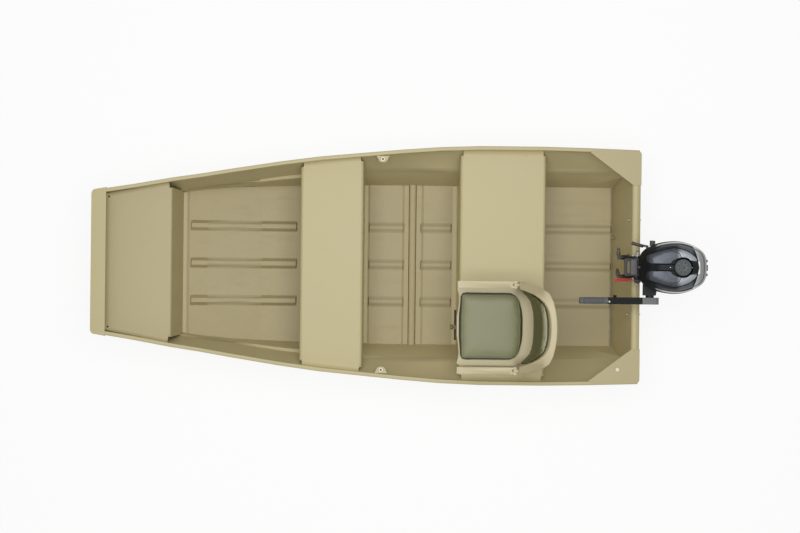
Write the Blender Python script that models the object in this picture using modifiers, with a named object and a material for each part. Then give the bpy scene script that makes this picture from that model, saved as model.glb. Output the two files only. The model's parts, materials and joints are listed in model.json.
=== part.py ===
"""A ten-foot flat-bottomed aluminium jon boat, with a small tiller outboard and an armchair on its rear bench.

Metres. +X points to the bow, +Y to port and +Z up. The origin is amidships on the centre line, at the waterline,
because the boat is afloat with its motor down. The hull is pressed and riveted sheet: a ribbed bottom, two sides with
a pressed ledge, a raked bow panel and a raked transom, with extruded gunwales, caps and corner plates on their edges.
Joints: the motor tilts and steers, its tiller folds up, its propeller turns, the chair swivels and its arms lift.
"""

import math

import bmesh
import bpy
import numpy as np
from mathutils import Matrix, Vector

# Clearances and stock thicknesses

SEAT_GAP = 0.0003       # between pieces that rest on each other
END_GAP = 0.001         # between a cross panel's end and the hull side
DECK_END_GAP = 0.0025   # the same for the bow deck, where the sides twist
RUN_GAP = 0.0006        # round a pin or shaft that turns
SHEET = 0.003           # hull sheet
PANEL = 0.0025          # bench and deck sheet

# Hull

BOTTOM_Z = -0.045       # underside of the flat bottom, the draught of the empty boat
RAKE_START_X = 0.35     # where the bottom begins to rise to the bow
RAKE_GROWTH = 0.222     # metres of rise for each square metre of run
SHEER_Z = 0.335         # top of the gunwale amidships and aft
BOW_SHEER_Z = 0.380
SHEET_BELOW_SHEER = 0.004
FLANGE_HEIGHT = 0.026   # upright strip of the side inside the gunwale
LEDGE_STEP = 0.006
CHINE_LIP = 0.006

TRANSOM_TOP_X = -1.481  # outer face of the transom at the height of the gunwale
TRANSOM_RAKE = 0.155    # run for each metre down
BOW_TOP_X = 1.478
BOW_RAKE = 0.42

# Each station: x, half widths of gunwale outside, ledge outside, ledge inside and floor, and the ledge's rise
HULL_STATIONS = (
    (-1.400, 0.6340, 0.538, 0.506, 0.447, 0.190),
    (-1.200, 0.6430, 0.541, 0.509, 0.449, 0.190),
    (-0.950, 0.6480, 0.542, 0.509, 0.450, 0.190),
    (-0.620, 0.6480, 0.542, 0.510, 0.450, 0.190),
    (-0.400, 0.6400, 0.541, 0.511, 0.450, 0.190),
    (-0.190, 0.6240, 0.538, 0.511, 0.450, 0.190),
    (0.030, 0.6040, 0.527, 0.503, 0.449, 0.190),
    (0.250, 0.5830, 0.508, 0.487, 0.446, 0.188),
    (0.470, 0.5530, 0.484, 0.468, 0.440, 0.172),
    (0.750, 0.5080, 0.446, 0.436, 0.428, 0.115),
    (0.900, 0.4820, 0.427, 0.420, 0.413, 0.070),
    (1.050, 0.4590, 0.403, 0.397, 0.391, 0.035),
    (1.250, 0.4220, 0.369, 0.365, 0.361, 0.024),
    (1.330, 0.4085, 0.360, 0.356, 0.352, 0.022),
    (1.400, 0.3865, 0.350, 0.346, 0.342, 0.020),
)
STATION_X, GUNWALE_HALF, LEDGE_OUT, LEDGE_IN, FLOOR_HALF, LEDGE_RISE = np.array(HULL_STATIONS).T

# Each point of the sheer line: x and height
SHEER_LINE = ((-1.5, SHEER_Z), (0.25, SHEER_Z), (0.75, 0.343), (1.05, 0.358), (1.33, BOW_SHEER_Z), (1.50, BOW_SHEER_Z))

RIB_CENTRES = (-0.210, 0.0, 0.210)
RIB_BASE = 0.058
RIB_TOP = 0.024
RIB_HEIGHT = 0.014
RIB_RAMP = 0.008
RIB_SPANS = ((-1.372, -0.950), (-0.466, -0.303), (-0.198, -0.010), (0.409, 0.985))

# Gunwale, caps and corner plates

GUNWALE_WIDTH = 0.021
GUNWALE_OUTER_DROP = 0.026
GUNWALE_INNER_DROP = 0.020
GUNWALE_SLOT = 0.0040
GUNWALE_WALL_TO_SLOT = 0.0100
SIDE_INSET = 0.0135     # from the gunwale's outside to the inner face of the side
CORE = 0.0315           # transom board
CAP_WALL = 0.002
CAP_DROP = 0.026
GUSSET = 0.003
BOW_CAP_X = (1.405, 1.484)
BOW_CAP_HALF = (0.4012, 0.3914)    # at its aft and front edges
BOW_CAP_RADIUS = 0.024
BOW_CAP_DROP = 0.022

# Benches and deck

BENCH_TOP_Z = 0.288
BENCH_RADIUS = 0.014
MIDDLE_BENCH_X = (0.020, 0.362)
REAR_BENCH_X = (-0.974, -0.507)
BENCH_NOTCH = 0.018        # how far a fold stops short of the hull side
DECK_NOTCH = 0.028
FOOT_FLANGE = 0.018
FRONT_FOOT_FLANGE = 0.029
DECK_Z = 0.305
DECK_AFT_X = 1.0585
RISER_FOOT_X = 1.032
FLOOR_RIB_X = (-0.273, -0.230)
FLOOR_RIB_HEIGHT = 0.014

# Fittings

OARLOCK_X = -0.085
STERN_EYE_Y = 0.258
STERN_HANDLE_Y = 0.414
LIGHT_XY = (-1.366, 0.556)
DRAIN_Y = -0.164

# Chair

CHAIR_X = -0.700
CHAIR_Y = 0.326
SWIVEL_RADIUS = 0.080
SWIVEL_SPLIT_Z = BENCH_TOP_Z + 0.018
PAN_BOTTOM_Z = BENCH_TOP_Z + 0.062
PAN_TOP_Z = PAN_BOTTOM_Z + 0.030
PAN_HALF = 0.212
PAN_FRONT_X = -0.492
ARM_Y = 0.226
ARM_WIDTH = 0.035
ARM_PIVOT_X = -0.794
ARM_PIVOT_Z = PAN_TOP_Z + 0.192
ARM_FRONT_X = -0.486
ARM_HEIGHT = 0.028
TONGUE_WIDTH = 0.014

# Outboard

TILT_X = -1.462
TILT_Z = 0.375
STEER_X = -1.560
PROP_Z = -0.165
PROP_RADIUS = 0.092
BRACKET_Y = 0.053
BRACKET_WIDTH = 0.012
SCREW_Z = 0.262
LOWER_COWL_Z = (0.430, 0.512)
COWL_WALL = 0.004
CAP_X = -1.648
CAP_RADIUS = 0.043
TILLER_Y = 0.182
TILLER_X = -1.515
TILLER_Z = 0.470

for old in list(bpy.data.objects):
    bpy.data.objects.remove(old)

PARTS = bpy.data.collections.new("jon_boat")
CUTTERS = bpy.data.collections.new("cutters")
bpy.context.scene.collection.children.link(PARTS)
bpy.context.scene.collection.children.link(CUTTERS)


# Materials

def material(name, colour, roughness, metallic=0.0):
    made = bpy.data.materials.new(name)
    made.use_nodes = True
    shader = made.node_tree.nodes["Principled BSDF"]
    shader.inputs["Base Color"].default_value = (*colour, 1.0)
    shader.inputs["Roughness"].default_value = roughness
    shader.inputs["Metallic"].default_value = metallic
    made.diffuse_color = (*colour, 1.0)
    return made


TAN = material("tan_paint", (0.42, 0.37, 0.22), 0.45)
CHAIR_TAN = material("tan_plastic", (0.50, 0.44, 0.28), 0.5)
GREEN = material("green_vinyl", (0.25, 0.27, 0.17), 0.6)
BLACK = material("black_paint", (0.02, 0.02, 0.022), 0.25)
BLACK_PLASTIC = material("black_plastic", (0.03, 0.03, 0.032), 0.5)
GREY = material("grey_plastic", (0.12, 0.12, 0.13), 0.5)
STEEL = material("steel", (0.55, 0.55, 0.53), 0.3, 1.0)
CREAM = material("cream_plastic", (0.75, 0.72, 0.62), 0.5)
RED = material("red_plastic", (0.65, 0.03, 0.03), 0.4)


# Making and joining meshes

def add_object(name, mesh, look, collection=None):
    made = bpy.data.objects.new(name, mesh)
    mesh.materials.clear()
    mesh.materials.append(look)
    (collection or PARTS).objects.link(made)
    mesh.shade_smooth()
    mesh.set_sharp_from_angle(angle=math.radians(32))
    if collection is CUTTERS:
        made.hide_render = True
        made.display_type = "WIRE"
    return made


def evaluated_mesh(obj, weld=1e-5):
    """The object's mesh as its modifiers or curve make it, in world coordinates. The object is removed."""
    bpy.context.view_layer.update()
    mesh = bpy.data.meshes.new_from_object(obj.evaluated_get(bpy.context.evaluated_depsgraph_get()))
    mesh.transform(obj.matrix_world)
    work = bmesh.new()
    work.from_mesh(mesh)
    bmesh.ops.remove_doubles(work, verts=work.verts, dist=weld)
    bmesh.ops.recalc_face_normals(work, faces=work.faces)
    work.to_mesh(mesh)
    work.free()
    bpy.data.objects.remove(obj)
    return mesh


def is_flat(corners):
    """Whether four corners lie in one plane, to a hundredth of a millimetre."""
    a, b, c, d = (Vector(corner) for corner in corners)
    normal = (c - a).cross(d - b)
    return normal.length < 1e-12 or abs(normal.normalized().dot(b - a)) < 1e-5


def loft(name, rings, look, collection=None, sheet=False):
    """A solid skinned over rings of equal point count, closed by a face at each end. A sheet's rings run out along
    one face and back along the other, and its ends are closed by strips between the two. Twisted faces are split
    along the same diagonal everywhere, so both sides of the boat get mirrored surfaces."""
    count = len(rings[0])
    verts = [tuple(point) for ring in rings for point in ring]
    quads = []
    for ring in range(len(rings) - 1):
        for i in range(count):
            a = ring * count + i
            b = ring * count + (i + 1) % count
            quads.append((a, b, b + count, a + count))
    faces = []
    for start in (0, len(verts) - count):
        if sheet:
            quads += [(start + i, start + i + 1, start + count - 2 - i, start + count - 1 - i) for i in range(count // 2 - 1)]
        else:
            faces.append(tuple(range(start, start + count)))
    for a, b, c, d in quads:
        if is_flat([verts[k] for k in (a, b, c, d)]):
            faces.append((a, b, c, d))
        else:
            faces += [(a, b, c), (a, c, d)]
    mesh = bpy.data.meshes.new(name)
    mesh.from_pydata(verts, [], faces)
    work = bmesh.new()
    work.from_mesh(mesh)
    bmesh.ops.recalc_face_normals(work, faces=work.faces)
    if work.calc_volume(signed=True) < 0:
        bmesh.ops.reverse_faces(work, faces=work.faces)
    work.to_mesh(mesh)
    work.free()
    return add_object(name, mesh, look, collection)


def plate(name, outline, span, axis, look, collection=None, holes=()):
    """A flat outline, given in the two other axes in X, Y, Z order, extruded over a span of the named axis."""
    curve = bpy.data.curves.new(name, "CURVE")
    curve.dimensions = "2D"
    curve.fill_mode = "BOTH"
    curve.extrude = (span[1] - span[0]) / 2
    for points in (outline, *holes):
        spline = curve.splines.new("POLY")
        spline.points.add(len(points) - 1)
        for slot, (u, v) in zip(spline.points, points, strict=True):
            slot.co = (u, v, 0.0, 1.0)
        spline.use_cyclic_u = True
    obj = bpy.data.objects.new(name, curve)
    bpy.context.scene.collection.objects.link(obj)
    middle = (span[0] + span[1]) / 2
    columns = {
        "X": ((0, 1, 0), (0, 0, 1), (1, 0, 0)),
        "Y": ((1, 0, 0), (0, 0, 1), (0, 1, 0)),
        "Z": ((1, 0, 0), (0, 1, 0), (0, 0, 1)),
    }[axis]
    matrix = Matrix(columns).transposed().to_4x4()
    matrix.translation = Vector(columns[2]) * middle
    obj.matrix_world = matrix
    return add_object(name, evaluated_mesh(obj), look, collection)


def turned(name, profile, look, place, axis="Z", steps=24, collection=None):
    """A profile of (radius, height), from its top on the axis to its bottom on the axis, turned about that axis."""
    mesh = bpy.data.meshes.new(name)
    edges = [(i, i + 1) for i in range(len(profile) - 1)]
    mesh.from_pydata([(r, 0.0, h) for r, h in profile], edges, [])
    obj = bpy.data.objects.new(name, mesh)
    bpy.context.scene.collection.objects.link(obj)
    screw = obj.modifiers.new("turn", "SCREW")
    screw.steps = steps
    screw.render_steps = steps
    screw.use_merge_vertices = True
    screw.merge_threshold = 1e-5
    turn = {"Z": Matrix.Identity(4), "X": Matrix.Rotation(math.pi / 2, 4, "Y"), "Y": Matrix.Rotation(-math.pi / 2, 4, "X")}
    obj.matrix_world = Matrix.Translation(place) @ turn[axis]
    return add_object(name, evaluated_mesh(obj), look, collection)


def rod(name, radius, start, length, axis, look, collection=None, steps=20, edge=0.0):
    """A round bar from a point along an axis, with bevelled ends where an edge is given."""
    profile = [(0, length), (radius - edge, length), (radius, length - edge), (radius, edge), (radius - edge, 0), (0, 0)]
    if not edge:
        profile = [(0, length), (radius, length), (radius, 0), (0, 0)]
    return turned(name, profile, look, start, axis, steps, collection)


def tube(name, points, radius, look, collection=None, resolution=3):
    """A round bar that follows a list of points."""
    curve = bpy.data.curves.new(name, "CURVE")
    curve.dimensions = "3D"
    curve.bevel_depth = radius
    curve.bevel_resolution = resolution
    curve.use_fill_caps = True
    spline = curve.splines.new("POLY")
    spline.points.add(len(points) - 1)
    for slot, point in zip(spline.points, points, strict=True):
        slot.co = (*point, 1.0)
    obj = bpy.data.objects.new(name, curve)
    bpy.context.scene.collection.objects.link(obj)
    return add_object(name, evaluated_mesh(obj), look, collection)


def block(name, low, high, look, collection=None, bevel=0.0, segments=2):
    """A box between two corners, its edges rounded by a bevel."""
    mesh = bpy.data.meshes.new(name)
    work = bmesh.new()
    bmesh.ops.create_cube(work, size=1.0)
    size = Vector(high) - Vector(low)
    bmesh.ops.scale(work, vec=size, verts=work.verts)
    bmesh.ops.translate(work, vec=(Vector(high) + Vector(low)) / 2, verts=work.verts)
    if bevel:
        bmesh.ops.bevel(work, geom=work.edges[:], offset=bevel, segments=segments, affect="EDGES", profile=0.5)
    work.to_mesh(mesh)
    work.free()
    return add_object(name, mesh, look, collection)


def boolean(target, operands, operation, solver):
    for operand in operands:
        step = target.modifiers.new(operation.lower() + "_" + operand.name, "BOOLEAN")
        step.operation = operation
        step.solver = solver
        step.object = operand
    return target


def cut(target, *operands, solver="EXACT"):
    return boolean(target, operands, "DIFFERENCE", solver)


def fuse(target, *operands, solver="EXACT"):
    return boolean(target, operands, "UNION", solver)


def arc(centre, radius, start, end, count):
    """Points of a circular arc in a plane, with angles in degrees."""
    angles = np.radians(np.linspace(start, end, count))
    return [(centre[0] + radius * math.cos(a), centre[1] + radius * math.sin(a)) for a in angles]


def rounded(corners, radius, count=4):
    """An outline with each corner replaced by an arc, for convex outlines that run anticlockwise."""
    points = []
    for i, corner in enumerate(corners):
        before = Vector(corners[i - 1]) - Vector(corner)
        after = Vector(corners[(i + 1) % len(corners)]) - Vector(corner)
        half = before.angle(after) / 2
        reach = radius / math.tan(half)
        middle = Vector(corner) + (before.normalized() + after.normalized()).normalized() * (radius / math.sin(half))
        first = Vector(corner) + before.normalized() * reach - middle
        last = Vector(corner) + after.normalized() * reach - middle
        start = math.degrees(math.atan2(first.y, first.x))
        sweep = (math.degrees(math.atan2(last.y, last.x)) - start) % 360
        points += arc(middle, radius, start, start + sweep, count)
    return points


def offset_line(points, distance):
    """A line of (u, v) points moved sideways by a distance, to its right, with mitred corners."""
    line = np.array(points, float)
    steps = np.diff(line, axis=0)
    normals = np.stack([steps[:, 1], -steps[:, 0]], axis=1) / np.linalg.norm(steps, axis=1)[:, None]
    before = np.vstack([normals[:1], normals])
    after = np.vstack([normals, normals[-1:]])
    mitre = (before + after) / (1 + np.sum(before * after, axis=1))[:, None]
    return [tuple(p) for p in line + mitre * distance]


# Hull lines

def transom_x(z):
    return TRANSOM_TOP_X + (SHEER_Z - z) * TRANSOM_RAKE


def bow_x(z):
    return BOW_TOP_X - (BOW_SHEER_Z - z) * BOW_RAKE


def sheer(x):
    return float(np.interp(x, *zip(*SHEER_LINE, strict=True)))


BOTTOM_X = np.union1d(STATION_X, (RAKE_START_X, 0.60, 1.15))
BOTTOM_HEIGHTS = BOTTOM_Z + RAKE_GROWTH * np.maximum(BOTTOM_X - RAKE_START_X, 0.0) ** 2


def bottom(x):
    """Height of the hull's underside."""
    return float(np.interp(x, BOTTOM_X, BOTTOM_HEIGHTS))


RIB_ENDS = [x for aft, fore in RIB_SPANS for x in (aft - RIB_RAMP, aft, fore, fore + RIB_RAMP)]


def rib_height(x):
    """How far the pressed ribs stand up at x. Each rib is a row of four, with a ramp at every end."""
    return RIB_HEIGHT * float(np.interp(x, RIB_ENDS, (0, 1, 1, 0) * len(RIB_SPANS)))


def rib_share(y):
    """The share of a rib's height at y."""
    off = min(abs(y - centre) for centre in RIB_CENTRES)
    return float(np.interp(off, (RIB_TOP / 2, RIB_BASE / 2), (1, 0)))


def floor_top(x, y):
    return bottom(x) + SHEET + rib_height(x) * rib_share(y)


def side_line(x):
    """The inner face of the hull side at x, as (y, z) points from its foot to its top edge."""
    gunwale, outer, inner, floor, rise = (
        float(np.interp(x, STATION_X, column))
        for column in (GUNWALE_HALF, LEDGE_OUT, LEDGE_IN, FLOOR_HALF, LEDGE_RISE)
    )
    ledge = bottom(x) + rise
    top = sheer(x)
    return [
        (floor, bottom(x) + SHEET + SEAT_GAP),
        (inner, ledge),
        (outer, ledge + LEDGE_STEP),
        (gunwale - SIDE_INSET, top - FLANGE_HEIGHT),
        (gunwale - SIDE_INSET, top - SHEET_BELOW_SHEER),
    ]


def inner_half(x, z, gap=END_GAP):
    """Half the width between the hull sides at a place, less the gap that cross panels leave."""
    line = side_line(x)
    heights = [point[1] for point in line]
    widths = [point[0] for point in line]
    return min(float(np.interp(z + lift, heights, widths)) for lift in (-0.0015, 0.0, 0.0015)) - gap


def end_x(x, z):
    """A station's x at a height: the end stations follow the rake of the transom and of the bow panel."""
    if x == STATION_X[0]:
        return transom_x(z) + SHEET + SEAT_GAP
    if x == STATION_X[-1]:
        return bow_x(z) - SHEET - SEAT_GAP
    return x


# The bottom, with its three pressed ribs, is one sheet from the transom to the bow panel.

def hull_bottom():
    breaks = [c + o for c in RIB_CENTRES for o in (-RIB_BASE / 2, -RIB_TOP / 2, RIB_TOP / 2, RIB_BASE / 2)]
    rings = []
    for x in np.union1d(BOTTOM_X, RIB_ENDS):
        edge = side_line(x)[0][0] + CHINE_LIP
        across = [-edge, *breaks, edge]
        at = end_x(x, bottom(x))
        above = [(at, y, floor_top(x, y)) for y in across]
        below = [(at, y, floor_top(x, y) - SHEET) for y in reversed(across)]
        rings.append(above + below)
    loft("hull_bottom", rings, TAN)


def hull_side(name, side):
    rings = []
    for x in BOTTOM_X:
        inner = side_line(x)
        outer = offset_line(inner, SHEET)
        outer[0] = (outer[0][0], inner[0][1])
        ring = inner + outer[::-1]
        foot = inner[0][1]
        rings.append([(end_x(x, bottom(x) if z == foot else z), side * y, z) for y, z in ring])
    loft(name, rings, TAN)


def gunwale(name, side):
    rings = []
    for x in BOTTOM_X:
        g = float(np.interp(x, STATION_X, GUNWALE_HALF))
        top = sheer(x)
        slot_out = g - GUNWALE_WALL_TO_SLOT
        slot_in = slot_out - GUNWALE_SLOT
        ring = [
            (g, top - GUNWALE_OUTER_DROP),
            (g, top - 0.005),
            (g - 0.002, top - 0.0015),
            (g - 0.005, top),
            (g - GUNWALE_WIDTH + 0.004, top),
            (g - GUNWALE_WIDTH + 0.001, top - 0.0015),
            (g - GUNWALE_WIDTH, top - 0.005),
            (g - GUNWALE_WIDTH, top - GUNWALE_INNER_DROP),
            (slot_in, top - GUNWALE_INNER_DROP),
            (slot_in, top - SHEET_BELOW_SHEER + SEAT_GAP),
            (slot_out, top - SHEET_BELOW_SHEER + SEAT_GAP),
            (slot_out, top - GUNWALE_OUTER_DROP),
        ]
        rings.append([(end_x(x, z), side * y, z) for y, z in ring])
    before, last = np.array(rings[-2]), np.array(rings[-1])
    share = BOW_CAP_RADIUS / (last[0, 0] - before[0, 0])
    rings[-1] = [tuple(point) for point in last + (before - last) * share]
    loft(name, rings, TAN)


# The bow panel and the transom close the ends. The transom is a skin over a board, both capped by a channel.

def end_outline(x, half_trim=0.0, foot=0.0):
    """Half of an end's outline at a station, from the foot up, on the outer face of the side."""
    outer = offset_line(side_line(x), SHEET)
    return [(y - half_trim, z + foot) for y, z in outer]


def slanted_sheet(name, outline, face, near, far, look):
    """A sheet across the boat whose faces lie at set distances from a raked face."""
    whole = [(y, z) for y, z in outline] + [(-y, z) for y, z in reversed(outline)]
    rings = [[(face(z) + offset, y, z) for y, z in whole] for offset in (near, far)]
    loft(name, rings, look)


def bow_panel():
    outline = end_outline(STATION_X[-1])
    foot = bottom(STATION_X[-1])
    outline[0] = (outline[0][0] + CHINE_LIP - SHEET, foot)
    slanted_sheet("bow_panel", outline, bow_x, 0.0, -SHEET, TAN)


def transom():
    outline = end_outline(STATION_X[0])
    outline[0] = (outline[0][0] + CHINE_LIP - SHEET, BOTTOM_Z)
    slanted_sheet("transom_skin", outline, transom_x, 0.0, SHEET, TAN)
    inside = [(y - END_GAP, z) for y, z in side_line(STATION_X[0])]
    lip = GUNWALE_HALF[0] - GUNWALE_WIDTH - END_GAP
    notch = SHEER_Z - GUNWALE_INNER_DROP - SEAT_GAP
    upper = (float(np.interp(notch, [p[1] for p in inside], [p[0] for p in inside])), notch)
    board = inside[:3] + [upper, (lip, notch), (lip, SHEER_Z - SHEET_BELOW_SHEER)]
    near = SHEET + SEAT_GAP
    slanted_sheet("transom_board", board, transom_x, near, near + CORE, TAN)
    half = lip
    top = SHEER_Z
    under = SHEER_Z - SHEET_BELOW_SHEER + SEAT_GAP
    foot = SHEER_Z - CAP_DROP
    back = near + CORE + SEAT_GAP
    channel = [
        (-SEAT_GAP - CAP_WALL, foot), (-SEAT_GAP - CAP_WALL, top), (back + CAP_WALL, top), (back + CAP_WALL, foot),
        (back, foot), (back, under), (-SEAT_GAP, under), (-SEAT_GAP, foot),
    ]
    rings = [[(transom_x(z) + u, y, z) for u, z in channel] for y in (-half, half)]
    loft("transom_cap", rings, TAN)


def bow_cap():
    """A pressed cap over the bow, its front and sides turned down over the panel and the gunwales."""
    aft, front = BOW_CAP_X
    half, front_half = BOW_CAP_HALF
    centre = (front - BOW_CAP_RADIUS, front_half - BOW_CAP_RADIUS)
    top = BOW_SHEER_Z + SEAT_GAP

    def outline(inset, behind):
        corner = arc(centre, BOW_CAP_RADIUS - inset, 0, 90, 6)
        start = half - inset + behind * (half - front_half) / (centre[0] - aft)
        return [(aft - behind, -start), *[(x, -y) for x, y in reversed(corner)], *corner, (aft - behind, start)]

    cap = plate("bow_cap", outline(0.0, 0.0), (top - BOW_CAP_DROP, top + CAP_WALL), "Z", TAN)
    hollow = plate("bow_cap_hollow", outline(CAP_WALL, CAP_DROP), (top - CAP_DROP, top), "Z", TAN, CUTTERS)
    cut(cap, hollow)


def gusset(name, side):
    """The flat corner plate on the gunwale and the transom cap."""
    outline = [
        (-1.209, 0.6200), (-1.240, 0.6390), (-1.350, 0.6355), (-1.468, 0.6290), (-1.4795, 0.6250), (-1.4865, 0.6150),
        (-1.4865, 0.4440), (-1.4440, 0.4440),
    ]
    low = SHEER_Z + SEAT_GAP
    plate(name, [(x, side * y) for x, y in outline], (low, low + GUSSET), "Z", TAN)


# Benches and the bow deck are bent sheets that run from side to side and stand on the floor.

# How the end of a bench turns up to lie against the hull side: distance from the side and rise
END_FLANGE = ((0.0, 0.024), (0.002, 0.013), (0.009, 0.004), (0.022, 0.0))


def cross_panel(name, path, feet, flange, notch, gap=END_GAP):
    """A bent sheet across the boat. path is its outer line as (x, z) from one foot to the other end, with z None for
    a point on the floor. feet says which points of the line follow the floor's ribs, and flange says which ones turn
    up at the sides. The others stop short of the side, by nothing at the ledge and the whole notch at the top."""
    level = [(x, bottom(x) + SHEET + SEAT_GAP + PANEL if z is None else z) for x, z in path]
    inner = offset_line(level, PANEL)
    ledge = level[3][1]
    top = max(z for _, z in level)
    breaks = [c + o for c in RIB_CENTRES for o in (-RIB_BASE / 2, -RIB_TOP / 2, RIB_TOP / 2, RIB_BASE / 2)]
    loop = [(i, x, z, 0) for i, (x, z) in enumerate(level)]
    loop += [(i, x, z, 1) for i, (x, z) in reversed(list(enumerate(inner)))]

    def point(i, x, z, under, side, back, rise):
        """A point of the loop near an end, back from the side and raised where the sheet turns up."""
        if i in flange:
            z += 0.0 if under else rise
            short = 0.0
        else:
            short = notch * min(max((z - ledge) / (top - ledge), 0.0), 1.0)
        y = side * (inner_half(x, z, gap) - short - back)
        if i in feet:
            z = bottom(x) + SHEET + SEAT_GAP + (0.0 if under else PANEL)
        return (x, y, z)

    def across(i, x, z, under, y):
        """A point of the loop at a place between the ends."""
        if i in feet:
            z = bottom(x) + SHEET + SEAT_GAP + (0.0 if under else PANEL) + rib_height(x) * rib_share(y)
        return (x, y, z)

    rings = [[point(*entry, -1, back, rise) for entry in loop] for back, rise in END_FLANGE]
    rings += [[across(*entry, y) for entry in loop] for y in breaks]
    rings += [[point(*entry, 1, back, rise) for entry in loop] for back, rise in reversed(END_FLANGE)]
    loft(name, rings, TAN, sheet=True)


def bench(name, span, fore_flange, aft_flange):
    aft, fore = span
    r = BENCH_RADIUS
    ledge = side_line(aft)[1][1]
    fore_ledge = side_line(fore)[1][1]
    top = BENCH_TOP_Z
    path = [(aft - aft_flange, None), (aft, None), (aft, ledge), (aft, ledge + LEDGE_STEP)]
    path += arc((aft + r, top - r), r, 180, 90, 4)
    flange = (len(path), len(path) + 1)
    path += [(aft + r + SHEET, top), (fore - r - SHEET, top)]
    path += arc((fore - r, top - r), r, 90, 0, 4)
    path += [(fore, fore_ledge + LEDGE_STEP), (fore, fore_ledge), (fore, None), (fore + fore_flange, None)]
    count = len(path)
    cross_panel(name, path, (0, 1, count - 2, count - 1), flange, BENCH_NOTCH)


def bow_deck():
    r = BENCH_RADIUS
    front = bow_x(DECK_Z) - SHEET - SEAT_GAP - END_GAP
    ledge = side_line(RISER_FOOT_X)[1][1]
    path = [(RISER_FOOT_X - FOOT_FLANGE, None), (RISER_FOOT_X, None), (RISER_FOOT_X + 0.003, ledge),
            (RISER_FOOT_X + 0.004, ledge + LEDGE_STEP)]
    path += arc((DECK_AFT_X + r, DECK_Z - r), r, 173, 90, 4)
    flange = range(len(path), len(path) + 3)
    path += [(DECK_AFT_X + r + SHEET, DECK_Z), ((DECK_AFT_X + front) / 2, DECK_Z), (front, DECK_Z)]
    cross_panel("bow_deck", path, (0, 1), flange, DECK_NOTCH, DECK_END_GAP)


def floor_rib():
    """The cross rib on the flat strip of the floor."""
    aft, fore = FLOOR_RIB_X
    low = BOTTOM_Z + SHEET + SEAT_GAP
    top = low + FLOOR_RIB_HEIGHT
    shape = [(aft, low), (aft + 0.007, top), (fore - 0.007, top), (fore, low)]
    rings = []
    for side in (-1, 1):
        rings.append([(x, side * inner_half(x, z + 0.002), z) for x, z in shape])
    loft("floor_rib", rings, TAN)


# Small fittings of the hull

def oarlock(name, side):
    """A socket on the inside of the gunwale: a bracket plate with a bored boss."""
    lip = float(np.interp(OARLOCK_X + 0.035, STATION_X, GUNWALE_HALF)) - GUNWALE_WIDTH - SEAT_GAP
    centre = lip - 0.018
    top = SHEER_Z - 0.004
    outline = [(OARLOCK_X - 0.035, lip), (OARLOCK_X - 0.020, lip - 0.030), (OARLOCK_X - 0.008, lip - 0.036),
               (OARLOCK_X + 0.008, lip - 0.036), (OARLOCK_X + 0.020, lip - 0.030), (OARLOCK_X + 0.035, lip)]
    socket = plate(name, [(x, side * y) for x, y in outline], (top - 0.006, top), "Z", TAN)
    boss = rod(name + "_boss", 0.012, (OARLOCK_X, side * centre, top - 0.036), 0.038, "Z", TAN, CUTTERS)
    bore = rod(name + "_bore", 0.0066, (OARLOCK_X, side * centre, top - 0.050), 0.080, "Z", TAN, CUTTERS)
    fuse(socket, boss)
    cut(socket, bore)


def stern_eye(name, side):
    """An upright rod eye on the transom's outer face, on a small plate."""
    y = side * STERN_EYE_Y
    z = 0.262
    face = transom_x(z)
    low = (transom_x(z - 0.022) - SEAT_GAP - 0.003, y, z - 0.022)
    high = (transom_x(z + 0.022) - SEAT_GAP - 0.003, y, z + 0.022)
    points = [low, (face - 0.014, y, z - 0.022), (face - 0.022, y, z - 0.016), (face - 0.026, y, z),
              (face - 0.022, y, z + 0.016), (face - 0.014, y, z + 0.022), high]
    ring = tube(name + "_rod", points, 0.004, STEEL, CUTTERS, resolution=2)
    outline = [(z - 0.034, 0.014), (z + 0.034, 0.014)]
    corners = [(transom_x(h) - SEAT_GAP, h) for h, _ in outline]
    back = [(x, y - 0.014, h) for x, h in corners] + [(x, y + 0.014, h) for x, h in reversed(corners)]
    front = [(x - 0.0035, yy, h) for x, yy, h in back]
    pad = loft(name, [back, front], STEEL)
    fuse(pad, ring)


def stern_handle(name, side):
    """A short grab handle across the transom's outer face."""
    y = side * STERN_HANDLE_Y
    z = 0.262
    face = transom_x(z) - SEAT_GAP
    half = 0.031
    points = [(face - 0.001, y - half, z), (face - 0.014, y - half, z), (face - 0.020, y - half + 0.008, z),
              (face - 0.020, y + half - 0.008, z), (face - 0.014, y + half, z), (face - 0.001, y + half, z)]
    bar = tube(name + "_bar", points, 0.0045, TAN, CUTTERS, resolution=2)
    corners = [(transom_x(h) - SEAT_GAP, h) for h in (z - 0.016, z + 0.016)]
    back = [(x, y - half - 0.012, h) for x, h in corners] + [(x, y + half + 0.012, h) for x, h in reversed(corners)]
    front = [(x - 0.003, yy, h) for x, yy, h in back]
    pad = loft(name, [back, front], TAN)
    fuse(pad, bar)


def small_fittings():
    low = SHEER_Z + SEAT_GAP + GUSSET + SEAT_GAP
    profile = [(0, 0.013), (0.0055, 0.013), (0.0070, 0.012), (0.0090, 0.012), (0.0115, 0.009), (0.0115, 0), (0, 0)]
    turned("light_socket", profile, CREAM, (*LIGHT_XY, low), "Z", 20)
    z = -0.012
    face = transom_x(z) + SHEET + SEAT_GAP + CORE + SEAT_GAP
    plug = [(0, 0.012), (0.005, 0.012), (0.006, 0.010), (0.006, 0.005), (0.011, 0.004), (0.011, 0), (0, 0)]
    lean = 0.0018
    turned("drain_plug", plug, STEEL, (face + lean, DRAIN_Y, z), "X", 16)


# The chair: a clamp base on the rear bench, a turntable, a moulded shell, two pads and two arms that lift.

def chair_point(x, y, z):
    return (x, CHAIR_Y + y, z)


CLAMP_REACH = 0.024     # from the bench's front face to the front of the clamp
CLAMP_DEPTH = 0.040
CLAMP_WALL = 0.0045
CLAMP_HALF = 0.082


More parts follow.
